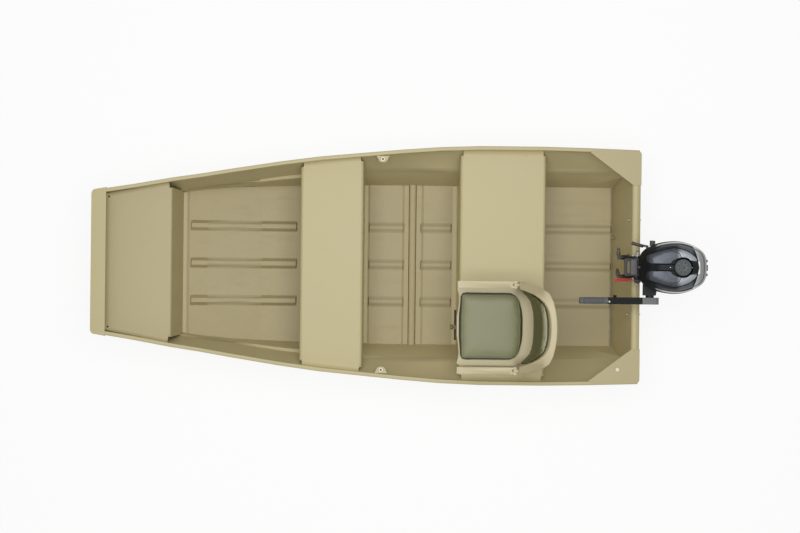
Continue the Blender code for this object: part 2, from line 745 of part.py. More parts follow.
def chair_base():
    """The clamp that grips the bench's front edge, with the turntable's fixed half."""
    low = BENCH_TOP_Z + SEAT_GAP
    front = REAR_BENCH_X[1]
    jaw_x = front + CLAMP_REACH
    screw_y = CHAIR_Y + 0.011
    screw_z = low - CLAMP_DEPTH / 2
    base = block("chair_base", (CHAIR_X - SWIVEL_RADIUS - 0.010, CHAIR_Y - CLAMP_HALF, low),
                 (jaw_x, CHAIR_Y + CLAMP_HALF, low + CLAMP_WALL), STEEL)
    jaw = block("chair_jaw", (jaw_x - CLAMP_WALL, CHAIR_Y - CLAMP_HALF, low - CLAMP_DEPTH),
                (jaw_x, CHAIR_Y + CLAMP_HALF, low + CLAMP_WALL), STEEL, CUTTERS)
    pad = rod("chair_pad", 0.012, (front + SEAT_GAP, screw_y, screw_z), 0.004, "X", STEEL, CUTTERS, 16)
    stem = rod("chair_stem", 0.004, (front + 0.002, screw_y, screw_z), CLAMP_REACH + 0.010, "X", STEEL, CUTTERS, 12)
    knob = rod("chair_knob", 0.0135, (jaw_x + 0.004, screw_y, screw_z), 0.020, "X", STEEL, CUTTERS, 16, 0.002)
    ring = rod("chair_ring", SWIVEL_RADIUS, (CHAIR_X, CHAIR_Y, low + 0.002),
               SWIVEL_SPLIT_Z - RUN_GAP - low - 0.002, "Z", STEEL, CUTTERS, 32, 0.002)
    fuse(base, jaw, pad, stem, knob, ring)


def chair_turntable():
    """The turning half: a disc, and the frame that the shell is bolted to."""
    top = rod("chair_turntable", SWIVEL_RADIUS, (CHAIR_X, CHAIR_Y, SWIVEL_SPLIT_Z), 0.007, "Z", STEEL, None, 32, 0.002)
    frame = block("chair_frame", chair_point(CHAIR_X - 0.085, -0.085, SWIVEL_SPLIT_Z + 0.005),
                  chair_point(CHAIR_X + 0.085, 0.085, PAN_BOTTOM_Z - SEAT_GAP), STEEL, CUTTERS)
    slot = block("chair_frame_slot", chair_point(CHAIR_X - 0.100, -0.060, SWIVEL_SPLIT_Z + 0.0085),
                 chair_point(CHAIR_X + 0.100, 0.060, PAN_BOTTOM_Z - 0.0040), STEEL, CUTTERS)
    fuse(top, frame)
    cut(top, slot)


# The plan of the shell's back, starboard half, as (distance behind the arm pivot, half width): the foot of its inner
# face, the top of that face, and the outer edge of the rolled rim
BACK_FOOT = ((-0.019, 0.203), (-0.052, 0.194), (-0.092, 0.152), (-0.110, 0.088), (-0.116, 0.000))
BACK_RIM = ((-0.019, 0.203), (-0.088, 0.176), (-0.137, 0.137), (-0.163, 0.083), (-0.172, 0.000))
BACK_OUTER = ((-0.019, 0.241), (-0.093, 0.226), (-0.165, 0.181), (-0.195, 0.094), (-0.203, 0.000))
BACK_RISE = (0.220, 0.272, 0.340, 0.358, 0.362)     # the rim's height above the pan
BACK_WALL = 0.012
BACK_POINTS = 17
# The side of a wing that carries an armrest, as (x, z) from the arm's pin
WING = ((-0.018, -0.012), (-0.018, 0.024), (-0.055, 0.028), (-0.060, -0.052), (-0.035, -0.172), (-0.026, -0.172))


def back_line(plan, heights):
    """A smooth line round the back, from the starboard wing to the port wing."""
    half = [(ARM_PIVOT_X + x, -y, z) for (x, y), z in zip(plan, heights, strict=True)]
    return smooth_through(half + [(x, -y, z) for x, y, z in reversed(half[:-1])], BACK_POINTS)


def back_lines():
    """The foot, the rim and the rolled edge of the back."""
    top = [PAN_TOP_Z + rise for rise in BACK_RISE]
    return back_line(BACK_FOOT, [PAN_TOP_Z - 0.008] * len(top)), back_line(BACK_RIM, top), back_line(BACK_OUTER, top)


def smooth_through(points, count):
    """A smooth line through a few points, by Catmull-Rom pieces."""
    line = np.array(points, float)
    padded = np.vstack([2 * line[0] - line[1], line, 2 * line[-1] - line[-2]])
    out = []
    for t in np.linspace(0, len(line) - 1, count):
        i = min(int(t), len(line) - 2)
        u = t - i
        p = padded[i:i + 4]
        out.append(0.5 * ((2 * p[1]) + (p[2] - p[0]) * u + (2 * p[0] - 5 * p[1] + 4 * p[2] - p[3]) * u * u
                          + (3 * p[1] - p[0] - 3 * p[2] + p[3]) * u ** 3))
    return np.array(out)


def outward(line):
    """Unit vectors in plan that point to the outside of a line that runs round the chair's back."""
    run = np.gradient(line, axis=0)
    normal = np.stack([-run[:, 1], run[:, 0], np.zeros(len(run))], axis=1)
    normal /= np.linalg.norm(normal, axis=1)[:, None]
    middle = len(line) // 2
    return normal if normal[middle, 0] < 0 else -normal


# The pan's edge and the seat cushion, port half, as (x, half width) from the back to the front
PAN_PLAN = ((-0.922, 0.135), (-0.880, 0.186), (-0.850, PAN_HALF - 0.002), (-0.820, PAN_HALF), (-0.512, PAN_HALF),
            (-0.498, PAN_HALF - 0.006), (PAN_FRONT_X - 0.001, 0.200), (-0.502, 0.168), (-0.504, 0.140), (-0.500, 0.095),
            (PAN_FRONT_X - 0.001, 0.050))
SEAT_PLAN = ((-0.845, 0.040), (-0.840, 0.085), (-0.826, 0.136), (-0.806, 0.164), (-0.780, 0.178), (-0.750, 0.180),
             (-0.545, 0.180), (-0.523, 0.175), (-0.513, 0.158), (-0.5105, 0.120), (-0.504, 0.060))
PAN_RIM = 0.008         # how far the pan's edge stands above its dish
DISH_MARGIN = 0.0015    # of the dish round the seat cushion


def both_halves(plan, inset=0.0):
    """A closed outline from the port half of a plan, drawn in towards its middle by an inset."""
    whole = [(x, y) for x, y in plan] + [(x, -y) for x, y in reversed(plan)]
    if inset:
        whole = offset_line([whole[-1], *whole, whole[0]], inset)[1:-1]
    return [(x, CHAIR_Y + y) for x, y in whole]


def chair_shell():
    foot, rim, outer = back_lines()
    out_foot = outward(foot)
    out_rim = outward(rim)
    down = np.array((0, 0, 1))
    edge = 0.004
    rings = []
    for a, b, c, na, nb in zip(foot, rim, outer, out_foot, out_rim, strict=True):
        over = (c - b) / np.linalg.norm(c - b)
        ring = [
            a, (a + b) / 2, b - down * 0.022, b - down * edge, b + over * edge, c - over * edge, c - down * edge,
            c - down * 0.024, b + nb * BACK_WALL - down * 0.026, (a + b) / 2 + (na + nb) / 2 * BACK_WALL, a + na * BACK_WALL,
        ]
        rings.append([chair_point(*p) for p in ring])
    shell = loft("chair_shell", rings, CHAIR_TAN)
    pan = plate("chair_pan", both_halves(PAN_PLAN), (PAN_BOTTOM_Z, PAN_TOP_Z + PAN_RIM), "Z", CHAIR_TAN, CUTTERS)
    dish = plate("chair_dish", both_halves(SEAT_PLAN, -DISH_MARGIN), (PAN_TOP_Z, PAN_TOP_Z + 0.020), "Z", CHAIR_TAN, CUTTERS)
    fuse(shell, pan)
    cut(shell, dish)
    reach = 0.030
    radius = ARM_HEIGHT / 2 - 0.002
    for side in (-1, 1):
        tongue = [(ARM_PIVOT_X - reach, ARM_PIVOT_Z - radius), *arc((ARM_PIVOT_X, ARM_PIVOT_Z), radius, -90, 90, 8),
                  (ARM_PIVOT_X - reach, ARM_PIVOT_Z + radius)]
        y = CHAIR_Y + side * ARM_Y
        fuse(shell, plate(f"chair_tongue_{side}", tongue, (y - TONGUE_WIDTH / 2, y + TONGUE_WIDTH / 2), "Y", CHAIR_TAN,
                          CUTTERS))
        wing = [(ARM_PIVOT_X + x, ARM_PIVOT_Z + z) for x, z in WING]
        fuse(shell, plate(f"chair_wing_{side}", wing, (y - 0.013, y + 0.013), "Y", CHAIR_TAN, CUTTERS))


def seat_cushion():
    """The crowned seat pad in the pan's dish, its layers as height and inset."""
    low = PAN_TOP_Z + SEAT_GAP
    layers = ((0.0, 0.007), (0.010, 0.0), (0.034, 0.0), (0.046, 0.006), (0.052, 0.020))
    rings = [[(x, y, low + rise) for x, y in both_halves(SEAT_PLAN, inset)] for rise, inset in layers]
    loft("seat_cushion", rings, GREEN)


def back_cushion():
    """A crescent pad on the inside of the back, from a fifth of its height to near its rim."""
    foot, rim, _ = back_lines()
    out_foot = outward(foot)
    out_rim = outward(rim)
    clear = SEAT_GAP + 0.0016
    rings = []
    for i in range(1, BACK_POINTS - 1):
        a, b = foot[i], rim[i]
        inward = -(out_foot[i] + out_rim[i]) / 2
        inward /= np.linalg.norm(inward)
        bulge = clear + 0.002 + 0.026 * math.sin(math.pi * i / (BACK_POINTS - 1))
        low = a + (b - a) * 0.20
        high = a + (b - a) * 0.88
        ring = [
            low + inward * clear, low + inward * bulge * 0.7, low * 0.7 + high * 0.3 + inward * bulge,
            low * 0.3 + high * 0.7 + inward * bulge, high + inward * bulge * 0.7, high + inward * clear,
        ]
        rings.append([chair_point(*p) for p in ring])
    loft("back_cushion", rings, GREEN)


def armrest(name, side):
    """A bar whose fork straddles the shell's tongue, turning about the fork's pin."""
    y = CHAIR_Y + side * ARM_Y
    half = ARM_WIDTH / 2
    low = ARM_PIVOT_Z - ARM_HEIGHT / 2
    high = ARM_PIVOT_Z + ARM_HEIGHT / 2
    front = ARM_FRONT_X
    ear_radius = ARM_HEIGHT / 2 - 0.0015
    fork = ARM_PIVOT_X + ear_radius + 0.0055
    outline = [(fork, low), *arc((front - 0.010, low + 0.010), 0.010, -90, 0, 4),
               *arc((front - 0.006, high - 0.006), 0.006, 0, 90, 4), (fork, high),
               *arc((ARM_PIVOT_X, ARM_PIVOT_Z), ear_radius, 90, 270, 10)]
    bar = plate(name, outline, (y - half, y + half), "Y", CHAIR_TAN)
    gap = TONGUE_WIDTH / 2 + SEAT_GAP
    slot = block(f"{name}_slot", (ARM_PIVOT_X - ARM_HEIGHT, y - gap, low - SHEET), (fork, y + gap, high + SHEET), CHAIR_TAN,
                 CUTTERS)
    cut(bar, slot)
    bar_origin(bar, (ARM_PIVOT_X, y, ARM_PIVOT_Z))


def bar_origin(obj, point):
    """Puts an object's origin on its joint's axis without moving its shape."""
    obj.data.transform(Matrix.Translation(-Vector(point)))
    obj.location = point


# The outboard's fixed parts: two clamp brackets over the transom, their screws and the tilt tube.

def clamp_bracket(name, side):
    y = side * BRACKET_Y
    span = (y - BRACKET_WIDTH / 2, y + BRACKET_WIDTH / 2)
    outer = -SEAT_GAP - CAP_WALL - SEAT_GAP
    inner = SHEET + SEAT_GAP + CORE + SEAT_GAP + CAP_WALL + 0.010
    saddle = SHEER_Z + SEAT_GAP
    outline = [
        (transom_x(0.240) + inner, 0.240), (transom_x(0.240) + inner + 0.020, 0.240),
        (transom_x(0.290) + inner + 0.026, 0.290), (TILT_X + 0.038, 0.345),
        *arc((TILT_X, TILT_Z), 0.021, 0, 180, 10),
        (-1.494, 0.340), (-1.516, 0.300), (-1.530, 0.200), (-1.524, 0.095), (-1.506, 0.085),
        (transom_x(0.085) + outer, 0.085), (transom_x(saddle) + outer, saddle), (transom_x(saddle) + inner, saddle),
    ]
    bracket = plate(name, outline, span, "Y", BLACK)
    boss_x = transom_x(SCREW_Z) + inner
    boss = rod(name + "_boss", 0.0125, (boss_x - 0.002, y, SCREW_Z), 0.036, "X", BLACK, CUTTERS)
    bore = rod(name + "_bore", 0.0065, (boss_x - 0.010, y, SCREW_Z), 0.060, "X", BLACK, CUTTERS)
    hole = rod(name + "_hole", 0.0084, (TILT_X, span[0] - 0.01, TILT_Z), 0.032, "Y", BLACK, CUTTERS)
    cut(bracket, hole)
    fuse(bracket, boss)
    cut(bracket, bore, solver="MANIFOLD")


def clamp_screw(name, side, slide, lean):
    """The screw with its pad and its T-bar, which slides in it and has stopped at an angle."""
    y = side * BRACKET_Y
    pad_x = transom_x(SCREW_Z) + SHEET + SEAT_GAP + CORE + SEAT_GAP + 0.0028
    profile = [(0, 0.062), (0.0055, 0.062), (0.0061, 0.060), (0.0061, 0.006), (0.018, 0.005), (0.018, 0.0), (0, 0)]
    screw = turned(name, profile, STEEL, (pad_x, y, SCREW_Z), "X", 20)
    hole = Matrix.Translation((pad_x + 0.055, y, SCREW_Z)) @ Matrix.Rotation(math.radians(lean), 4, "X")
    bar = rod(name + "_bar", 0.0045, (0.0, slide - 0.033, 0.0), 0.066, "Y", STEEL, CUTTERS, 12, 0.001)
    bar.data.transform(hole)
    fuse(screw, bar)


def tilt_tube():
    half = BRACKET_Y + BRACKET_WIDTH / 2 + 0.006
    rod("tilt_tube", 0.0080, (TILT_X, -half, TILT_Z), 2 * half, "Y", STEEL, None, 20, 0.001)


# The swivel bracket tilts on the tube and carries the steering shaft.

SWIVEL_HALF = BRACKET_Y - BRACKET_WIDTH / 2 - 0.006
SHAFT_RADIUS = 0.016
BARREL_RADIUS = 0.026
BARREL_Z = (0.120, 0.398)


def swivel_bracket():
    outline = [
        (STEER_X, 0.135), (STEER_X, 0.386), (STEER_X + 0.040, 0.394),
        *arc((TILT_X, TILT_Z), 0.016, 90, -90, 8), (TRANSOM_TOP_X - 0.020, 0.340), (TRANSOM_TOP_X - 0.018, 0.240),
        (TRANSOM_TOP_X - 0.042, 0.135),
    ]
    body = plate("swivel_bracket", outline, (-SWIVEL_HALF, SWIVEL_HALF), "Y", BLACK)
    reach = BRACKET_Y - BRACKET_WIDTH / 2 - SEAT_GAP * 2
    boss = rod("swivel_boss", 0.0140, (TILT_X, -reach, TILT_Z), 2 * reach, "Y", BLACK, CUTTERS)
    barrel = rod("swivel_barrel", BARREL_RADIUS, (STEER_X, 0, BARREL_Z[0]), BARREL_Z[1] - BARREL_Z[0], "Z", BLACK, CUTTERS,
                 24, 0.002)
    hole = rod("swivel_hole", 0.0080 + RUN_GAP, (TILT_X, -0.07, TILT_Z), 0.14, "Y", BLACK, CUTTERS)
    bore = rod("swivel_bore", SHAFT_RADIUS + RUN_GAP, (STEER_X, 0, 0.05), 0.45, "Z", BLACK, CUTTERS, 24)
    lighten = [(STEER_X + 0.034, 0.175), (STEER_X + 0.034, 0.330), (TRANSOM_TOP_X - 0.028, 0.330),
               (TRANSOM_TOP_X - 0.026, 0.245), (TRANSOM_TOP_X - 0.042, 0.175)]
    for side in (-1, 1):
        pocket = plate(f"swivel_pocket_{side}", lighten, sorted((side * 0.008, side * 0.060)), "Y", BLACK, CUTTERS)
        cut(body, pocket)
    fuse(body, boss, barrel)
    cut(body, hole, bore, solver="MANIFOLD")


# The steered part: shaft and mounts, leg, gearcase, cowls with the engine, and what hangs on them.

def foil(front, back, half, z, count=5):
    """A streamlined outline: round in front, tapered behind."""
    length = front - back
    points = [(front - length * 0.30 + length * 0.30 * math.cos(a), half * math.sin(a))
              for a in np.radians(np.linspace(-90, 90, 2 * count - 1))]
    points += [(front - length * 0.62, half * 0.92), (back, half * 0.34), (back, -half * 0.34),
               (front - length * 0.62, -half * 0.92)]
    return [(x, y, z) for x, y in points]


LEG_FRONT = STEER_X - 0.0325
PLATE_Z = -0.0553       # top of the gearcase, with its flat plate
# Each level of the leg: height, length and half width
LEG_LEVELS = (
    (LOWER_COWL_Z[0] - SEAT_GAP, 0.1275, 0.046), (0.390, 0.1195, 0.042), (0.300, 0.1075, 0.033),
    (0.100, 0.1025, 0.029), (PLATE_Z + 0.0153, 0.1075, 0.028), (PLATE_Z, 0.1135, 0.034),
)
# The plate's edge, port half, as (distance from the leg's front, half width)
PLATE_EDGE = ((0.0125, 0.030), (-0.0475, 0.058), (-0.1275, 0.078), (-0.1895, 0.082), (-0.2025, 0.070), (-0.2055, 0.030))
# The strut down to the propeller shaft and the skeg below it: front, back, half width and height
STRUT_LEVELS = ((0.0025, -0.1125, 0.026, PLATE_Z - 0.0013), (0.0025, -0.1095, 0.020, -0.100), (0.0145, -0.1075, 0.020, PROP_Z))
SKEG_LEVELS = ((0.0025, -0.0975, 0.012, PROP_Z - 0.010), (-0.0195, -0.0975, 0.006, PROP_Z - 0.050),
               (-0.0475, -0.1075, 0.003, PROP_Z - 0.120))
TORPEDO_FRONT = 0.0495
TORPEDO = ((0, 0.0), (0.012, -0.005), (0.021, -0.014), (0.028, -0.030), (0.031, -0.055), (0.031, -0.110),
           (0.027, -0.160), (0, -0.160))


def leg_sections(levels):
    return [foil(LEG_FRONT + front, LEG_FRONT + back, half, z) for front, back, half, z in levels]


def steering_shaft():
    shaft = rod("steering_shaft", SHAFT_RADIUS, (STEER_X, 0, 0.088), LOWER_COWL_Z[0] - SEAT_GAP - 0.088, "Z", BLACK, None, 24,
                0.001)
    lower = [(STEER_X + 0.020, -0.020), (STEER_X + 0.020, 0.020), (LEG_FRONT + SEAT_GAP * 2, 0.022),
             (LEG_FRONT + SEAT_GAP * 2, -0.022)]
    fuse(shaft, plate("steering_yoke_low", lower, (0.084, 0.1145), "Z", BLACK, CUTTERS))
    upper = rounded([(LEG_FRONT + SEAT_GAP * 2, -0.034), (STEER_X + 0.034, -0.034), (STEER_X + 0.034, 0.034),
                     (LEG_FRONT + SEAT_GAP * 2, 0.034)], 0.008, 3)
    fuse(shaft, plate("steering_yoke_high", upper, (BARREL_Z[1] + 0.003, LOWER_COWL_Z[0] - SEAT_GAP), "Z", BLACK, CUTTERS))


def driveshaft_housing():
    loft("driveshaft_housing", [foil(LEG_FRONT, LEG_FRONT - length, half, z) for z, length, half in LEG_LEVELS], BLACK)


def gearcase():
    """Anti-ventilation plate, strut, torpedo and skeg in one casting."""
    top = PLATE_Z - SEAT_GAP
    edge = [(LEG_FRONT + x, y) for x, y in PLATE_EDGE]
    case = plate("gearcase", edge + [(x, -y) for x, y in reversed(edge)], (top - 0.006, top), "Z", BLACK)
    strut = loft("gearcase_strut", leg_sections(STRUT_LEVELS), BLACK, CUTTERS)
    torpedo = turned("gearcase_torpedo", TORPEDO, BLACK, (LEG_FRONT + TORPEDO_FRONT, 0, PROP_Z), "X", 24, CUTTERS)
    skeg = loft("gearcase_skeg", leg_sections(SKEG_LEVELS), BLACK, CUTTERS)
    fuse(case, strut, torpedo, skeg)


PROP_FRONT_X = LEG_FRONT - 0.1105
PROP_PITCH = 0.165
# The hub's radius and how far it lies behind its front face
PROP_HUB = ((0.026, 0.0008), (0.027, 0.020), (0.024, 0.050), (0.016, 0.062), (0.012, 0.068))
# Each blade section: radius, chord and thickness
BLADE_SECTIONS = (
    (0.020, 0.034, 0.0060), (0.032, 0.048, 0.0052), (0.048, 0.058, 0.0044), (0.068, 0.060, 0.0034),
    (0.084, 0.046, 0.0025), (PROP_RADIUS, 0.020, 0.0016),
)
# The section's outline as shares of the chord and of the thickness
SECTION_SHAPE = ((-0.5, 0.0), (-0.2, 0.6), (0.2, 0.6), (0.5, 0.0), (0.2, -0.4), (-0.2, -0.4))


def propeller():
    """Three raked blades on a tapered hub, each a loft of sections that lie along the pitch helix."""
    hub = [(0, -PROP_HUB[0][1])] + [(radius, -behind) for radius, behind in PROP_HUB] + [(0, -0.070)]
    prop = turned("propeller", hub, BLACK, (PROP_FRONT_X, 0, PROP_Z), "X", 24)
    for blade in range(3):
        turn = math.radians(120 * blade)
        rings = []
        for radius, chord, thick in BLADE_SECTIONS:
            helix = math.atan(PROP_PITCH / (2 * math.pi * radius))
            middle = PROP_FRONT_X - 0.030 - radius * 0.10
            ring = []
            for share, bulge in SECTION_SHAPE:
                along, off = chord * share, thick * bulge
                angle = turn + (along * math.cos(helix) - off * math.sin(helix)) / radius
                x = middle - along * math.sin(helix) - off * math.cos(helix)
                ring.append((x, radius * math.cos(angle), PROP_Z + radius * math.sin(angle)))
            rings.append(ring)
        fuse(prop, loft(f"propeller_blade_{blade}", rings, BLACK, CUTTERS))
    bar_origin(prop, (PROP_FRONT_X, 0, PROP_Z))


# The plan of the cowl at its widest, port half, from front to back
COWL_PLAN = (
    (-1.452, 0.050), (-1.460, 0.078), (-1.480, 0.0985), (-1.506, 0.112), (-1.537, 0.126), (-1.580, 0.135),
    (-1.622, 0.1386), (-1.664, 0.136), (-1.701, 0.126), (-1.732, 0.113), (-1.762, 0.0970), (-1.783, 0.080),
    (-1.796, 0.056), (-1.801, 0.022),
)


def cowl_ring(z, front, back, half, inset=0.0):
    """The cowl's plan stretched to a front, a back and a half width, at a height that may slope along the cowl."""
    plan = np.array(COWL_PLAN)
    share = (plan[:, 0] - plan[-1, 0]) / (plan[0, 0] - plan[-1, 0])
    x = back + inset + share * (front - back - 2 * inset)
    y = plan[:, 1] / plan[:, 1].max() * (half - inset)
    points = list(zip(x, y, strict=True)) + [(a, -b) for a, b in reversed(list(zip(x, y, strict=True)))]
    return [(a, b, z) for a, b in points]


# Levels of the cowls: height, front, back and half width
LOWER_LEVELS = (
    (LOWER_COWL_Z[0], -1.500, -1.752, 0.080),
    (LOWER_COWL_Z[0] + 0.016, -1.470, -1.775, 0.102),
    (LOWER_COWL_Z[0] + 0.050, -1.456, -1.793, 0.124),
    (LOWER_COWL_Z[1], -1.453, -1.799, 0.133),
)
UPPER_LEVELS = (
    (LOWER_COWL_Z[1] + SEAT_GAP, -1.453, -1.799, 0.1340),
    (0.545, -1.452, -1.801, 0.1386),
    (0.590, -1.454, -1.799, 0.1370),
    (0.635, -1.458, -1.790, 0.1300),
    (0.668, -1.464, -1.768, 0.1200),
    (0.690, -1.476, -1.745, 0.1080),
    (0.704, -1.500, -1.728, 0.0880),
    (0.709, -1.540, -1.700, 0.0550),
)


def cowl_size(z):
    """Front, back and half width of the cowls at a height."""
    table = np.array(LOWER_LEVELS + UPPER_LEVELS)
    return [float(np.interp(z, table[:, 0], table[:, column])) for column in (1, 2, 3)]


def cowl_half(x, z):
    """Half the cowls' width at a place along them."""
    ring = np.array(cowl_ring(z, *cowl_size(z)))[:len(COWL_PLAN)]
    return float(np.interp(x, ring[::-1, 0], ring[::-1, 1]))


def cowl_front(y, z):
    """The cowls' front at a distance off the centre line."""
    ring = np.array(cowl_ring(z, *cowl_size(z)))[:5]
    return float(np.interp(y, ring[:, 1], ring[:, 0]))


def lower_cowl():
    low, high = LOWER_COWL_Z
    tray = loft("lower_cowl", [cowl_ring(*level) for level in LOWER_LEVELS], BLACK)
    inside = ((low + COWL_WALL * 2, -1.500, -1.752, 0.080), (low + 0.050, -1.456, -1.793, 0.124),
              (high + 0.010, -1.452, -1.800, 0.134))
    hollow = loft("lower_cowl_hollow", [cowl_ring(*level, inset=COWL_WALL) for level in inside], BLACK, CUTTERS)
    cut(tray, hollow)


def upper_cowl():
    """The hood, hollow over the engine, with the fuel cap's well, the long groove and the rear slot in its top."""
    hood = loft("upper_cowl", [cowl_ring(*level) for level in UPPER_LEVELS], BLACK)
    inside = [(LOWER_COWL_Z[1] - 0.010, *UPPER_LEVELS[0][1:]), *UPPER_LEVELS[1:4]]
    hollow = loft("upper_cowl_hollow", [cowl_ring(*level, inset=COWL_WALL) for level in inside], BLACK, CUTTERS)
    well = rod("upper_cowl_well", 0.051, (CAP_X, 0, 0.694), 0.040, "Z", BLACK, CUTTERS, 32)
    groove = block("upper_cowl_groove", (CAP_X + 0.030, -0.017, 0.698), (-1.440, 0.017, 0.760), BLACK, CUTTERS)
    slot = block("upper_cowl_slot", (-1.740, -0.034, 0.692), (CAP_X - 0.030, 0.034, 0.760), BLACK, CUTTERS)
    cut(hood, hollow, well, groove, slot)


def engine_block():
    low = LOWER_COWL_Z[0] + COWL_WALL * 2 + SEAT_GAP
    aft, fore = LEG_FRONT - 0.1025, LEG_FRONT + 0.0475
    block("engine_block", (aft, -0.060, low), (fore, 0.060, low + 0.1737), GREY, None, 0.006, 1)


def fuel_cap():
    """A ribbed screw cap that stands in the well."""
    steps = 48
    rim = [(CAP_X + CAP_RADIUS * (1.0 if i % 4 < 2 else 0.965) * math.cos(2 * math.pi * i / steps),
            CAP_RADIUS * (1.0 if i % 4 < 2 else 0.965) * math.sin(2 * math.pi * i / steps)) for i in range(steps)]
    low = 0.694 + SEAT_GAP
    rings = [[(x, y, low) for x, y in rim], [(x, y, low + 0.018) for x, y in rim],
             [(CAP_X + (x - CAP_X) * 0.93, y * 0.93, low + 0.023) for x, y in rim]]
    loft("fuel_cap", rings, BLACK_PLASTIC)


def starter_handle():
    """The pull grip in front of the cowl, on the short stem that its rope leaves by."""
    front = UPPER_LEVELS[1][1]
    grip = block("starter_handle", (-1.436, -0.043, 0.531), (-1.397, 0.043, 0.560), GREY, None, 0.008, 2)
    stem = rod("starter_stem", 0.008, (front + SEAT_GAP * 2, 0, 0.5455), -1.430 - front, "X", GREY, CUTTERS, 12)
    fuse(grip, stem)


def carry_handle():
    """A loop at the front of the lower cowl."""
    low, high = 0.462, 0.480
    rear = cowl_front(0.040, high) + SEAT_GAP
    outer = rounded([(rear, -0.047), (-1.377, -0.047), (-1.377, 0.047), (rear, 0.047)], 0.012, 4)
    hole = rounded([(rear + 0.010, -0.034), (-1.392, -0.034), (-1.392, 0.034), (rear + 0.010, 0.034)], 0.006, 3)
    plate("carry_handle", outer, (low, high), "Z", BLACK_PLASTIC, None, (hole,))


def shift_lever():
    """The lever on the starboard side of the lower cowl."""
    pivot_x = -1.498
    low, high = 0.470, 0.479
    plan = [(-1.418, -0.1340), (-1.414, -0.1240), (pivot_x + 0.008, -0.1070), (pivot_x - 0.010, -0.1150)]
    lever = plate("shift_lever", plan, (low, high), "Z", GREY)
    seat = cowl_half(pivot_x - 0.0065, high) + SEAT_GAP
    boss = rod("shift_boss", 0.0065, (pivot_x, -0.1130, (low + high) / 2), 0.1130 - seat, "Y", GREY, CUTTERS, 16)
    fuse(lever, boss)


def cowl_latches():
    """The catches that hold the hood down, one on the starboard side and one at the back, across the seam."""
    low, high = 0.500, 0.540
    fore, aft = -1.507, -1.530
    plan = [(x, -cowl_half(x, high) - SEAT_GAP) for x in (fore, aft)] + [(aft, -0.1400), (fore, -0.1420)]
    plate("cowl_latch_side", plan, (low, high), "Z", BLACK_PLASTIC)
    back = cowl_size(high)[1] - SEAT_GAP
    block("cowl_latch_rear", (back - 0.0085, -0.0160, low), (back, 0.0160, high), BLACK_PLASTIC, None, 0.002, 1)


def tiller_bracket():
    """The bracket at the port front of the lower cowl, with the ears that the tiller folds between."""
    low, high = 0.448, 0.496
    fore, aft = -1.480, -1.549
    corners = [x for x, _, _ in cowl_ring(high, *cowl_size(high))[:len(COWL_PLAN)] if aft < x < fore]
    seat = [(x, cowl_half(x, high) + SEAT_GAP) for x in [aft, *reversed(corners), fore]]
    plan = seat + [(fore, 0.150), (aft + 0.006, 0.150)]
    bracket = plate("tiller_bracket", plan, (low, high), "Z", BLACK)
    ear = rod("tiller_ear", 0.022, (TILLER_X, 0.146, TILLER_Z), 0.0155, "Y", BLACK, CUTTERS, 20)
    fuse(bracket, ear)


def tiller():
    """The arm, broad at its pivot and slim in front, and the twist grip on its end."""
    inner = 0.1460 + 0.0155 + SEAT_GAP
    outer = TILLER_Y + 0.016
    outline = [(TILLER_X - 0.046, TILLER_Z - 0.020), (TILLER_X, TILLER_Z - 0.024), (TILLER_X + 0.060, TILLER_Z - 0.020),
               (TILLER_X + 0.130, TILLER_Z - 0.014), (-1.292, TILLER_Z - 0.013), (-1.292, TILLER_Z + 0.013),
               (TILLER_X + 0.130, TILLER_Z + 0.014), (TILLER_X + 0.040, TILLER_Z + 0.022),
               (TILLER_X - 0.030, TILLER_Z + 0.024), (TILLER_X - 0.046, TILLER_Z + 0.014)]
    arm = plate("tiller_arm", outline, (inner, outer), "Y", BLACK)
    knob = rod("tiller_knob", 0.009, (-1.330, inner - 0.012, TILLER_Z), 0.014, "Y", BLACK, CUTTERS, 12)
    fuse(arm, knob)
    bar_origin(arm, (TILLER_X, TILLER_Y, TILLER_Z))
    centre = (inner + outer) / 2
    length = 0.152
    profile = [(0, length), (0.010, length), (0.016, length - 0.004), (0.0185, length - 0.014), (0.0175, 0.060),
               (0.0175, 0.012), (0.0190, 0.008), (0.0190, 0.0), (0, 0)]
    grip = turned("tiller_grip", profile, BLACK_PLASTIC, (-1.292 + SEAT_GAP, centre, TILLER_Z), "X", 24)
    bar_origin(grip, (TILLER_X, TILLER_Y, TILLER_Z))


# The red stop-switch lanyard is a curly cord, given as one fat tube, with its clip at the switch.
LANYARD_ROUTE = (
    (-1.4318, 0.0700, 0.4580), (-1.4120, 0.0690, 0.4595), (-1.3920, 0.0670, 0.4570), (-1.3730, 0.0670, 0.4480),
    (-1.3580, 0.0690, 0.4340), (-1.3480, 0.0715, 0.4160), (-1.3440, 0.0730, 0.3950),
)
LANYARD_RADIUS = 0.0085
SWITCH_RADIUS = 0.013


def lanyard():
    tube("lanyard", LANYARD_ROUTE, LANYARD_RADIUS, RED, None, 2)
    _, y, z = LANYARD_ROUTE[0]
    seat = cowl_front(y - SWITCH_RADIUS * 0.3, z + SWITCH_RADIUS * 0.9) + SEAT_GAP
    rod("stop_switch", SWITCH_RADIUS, (seat, y, z), LANYARD_ROUTE[0][0] - 0.0015 - seat, "X", RED, None, 16, 0.002)


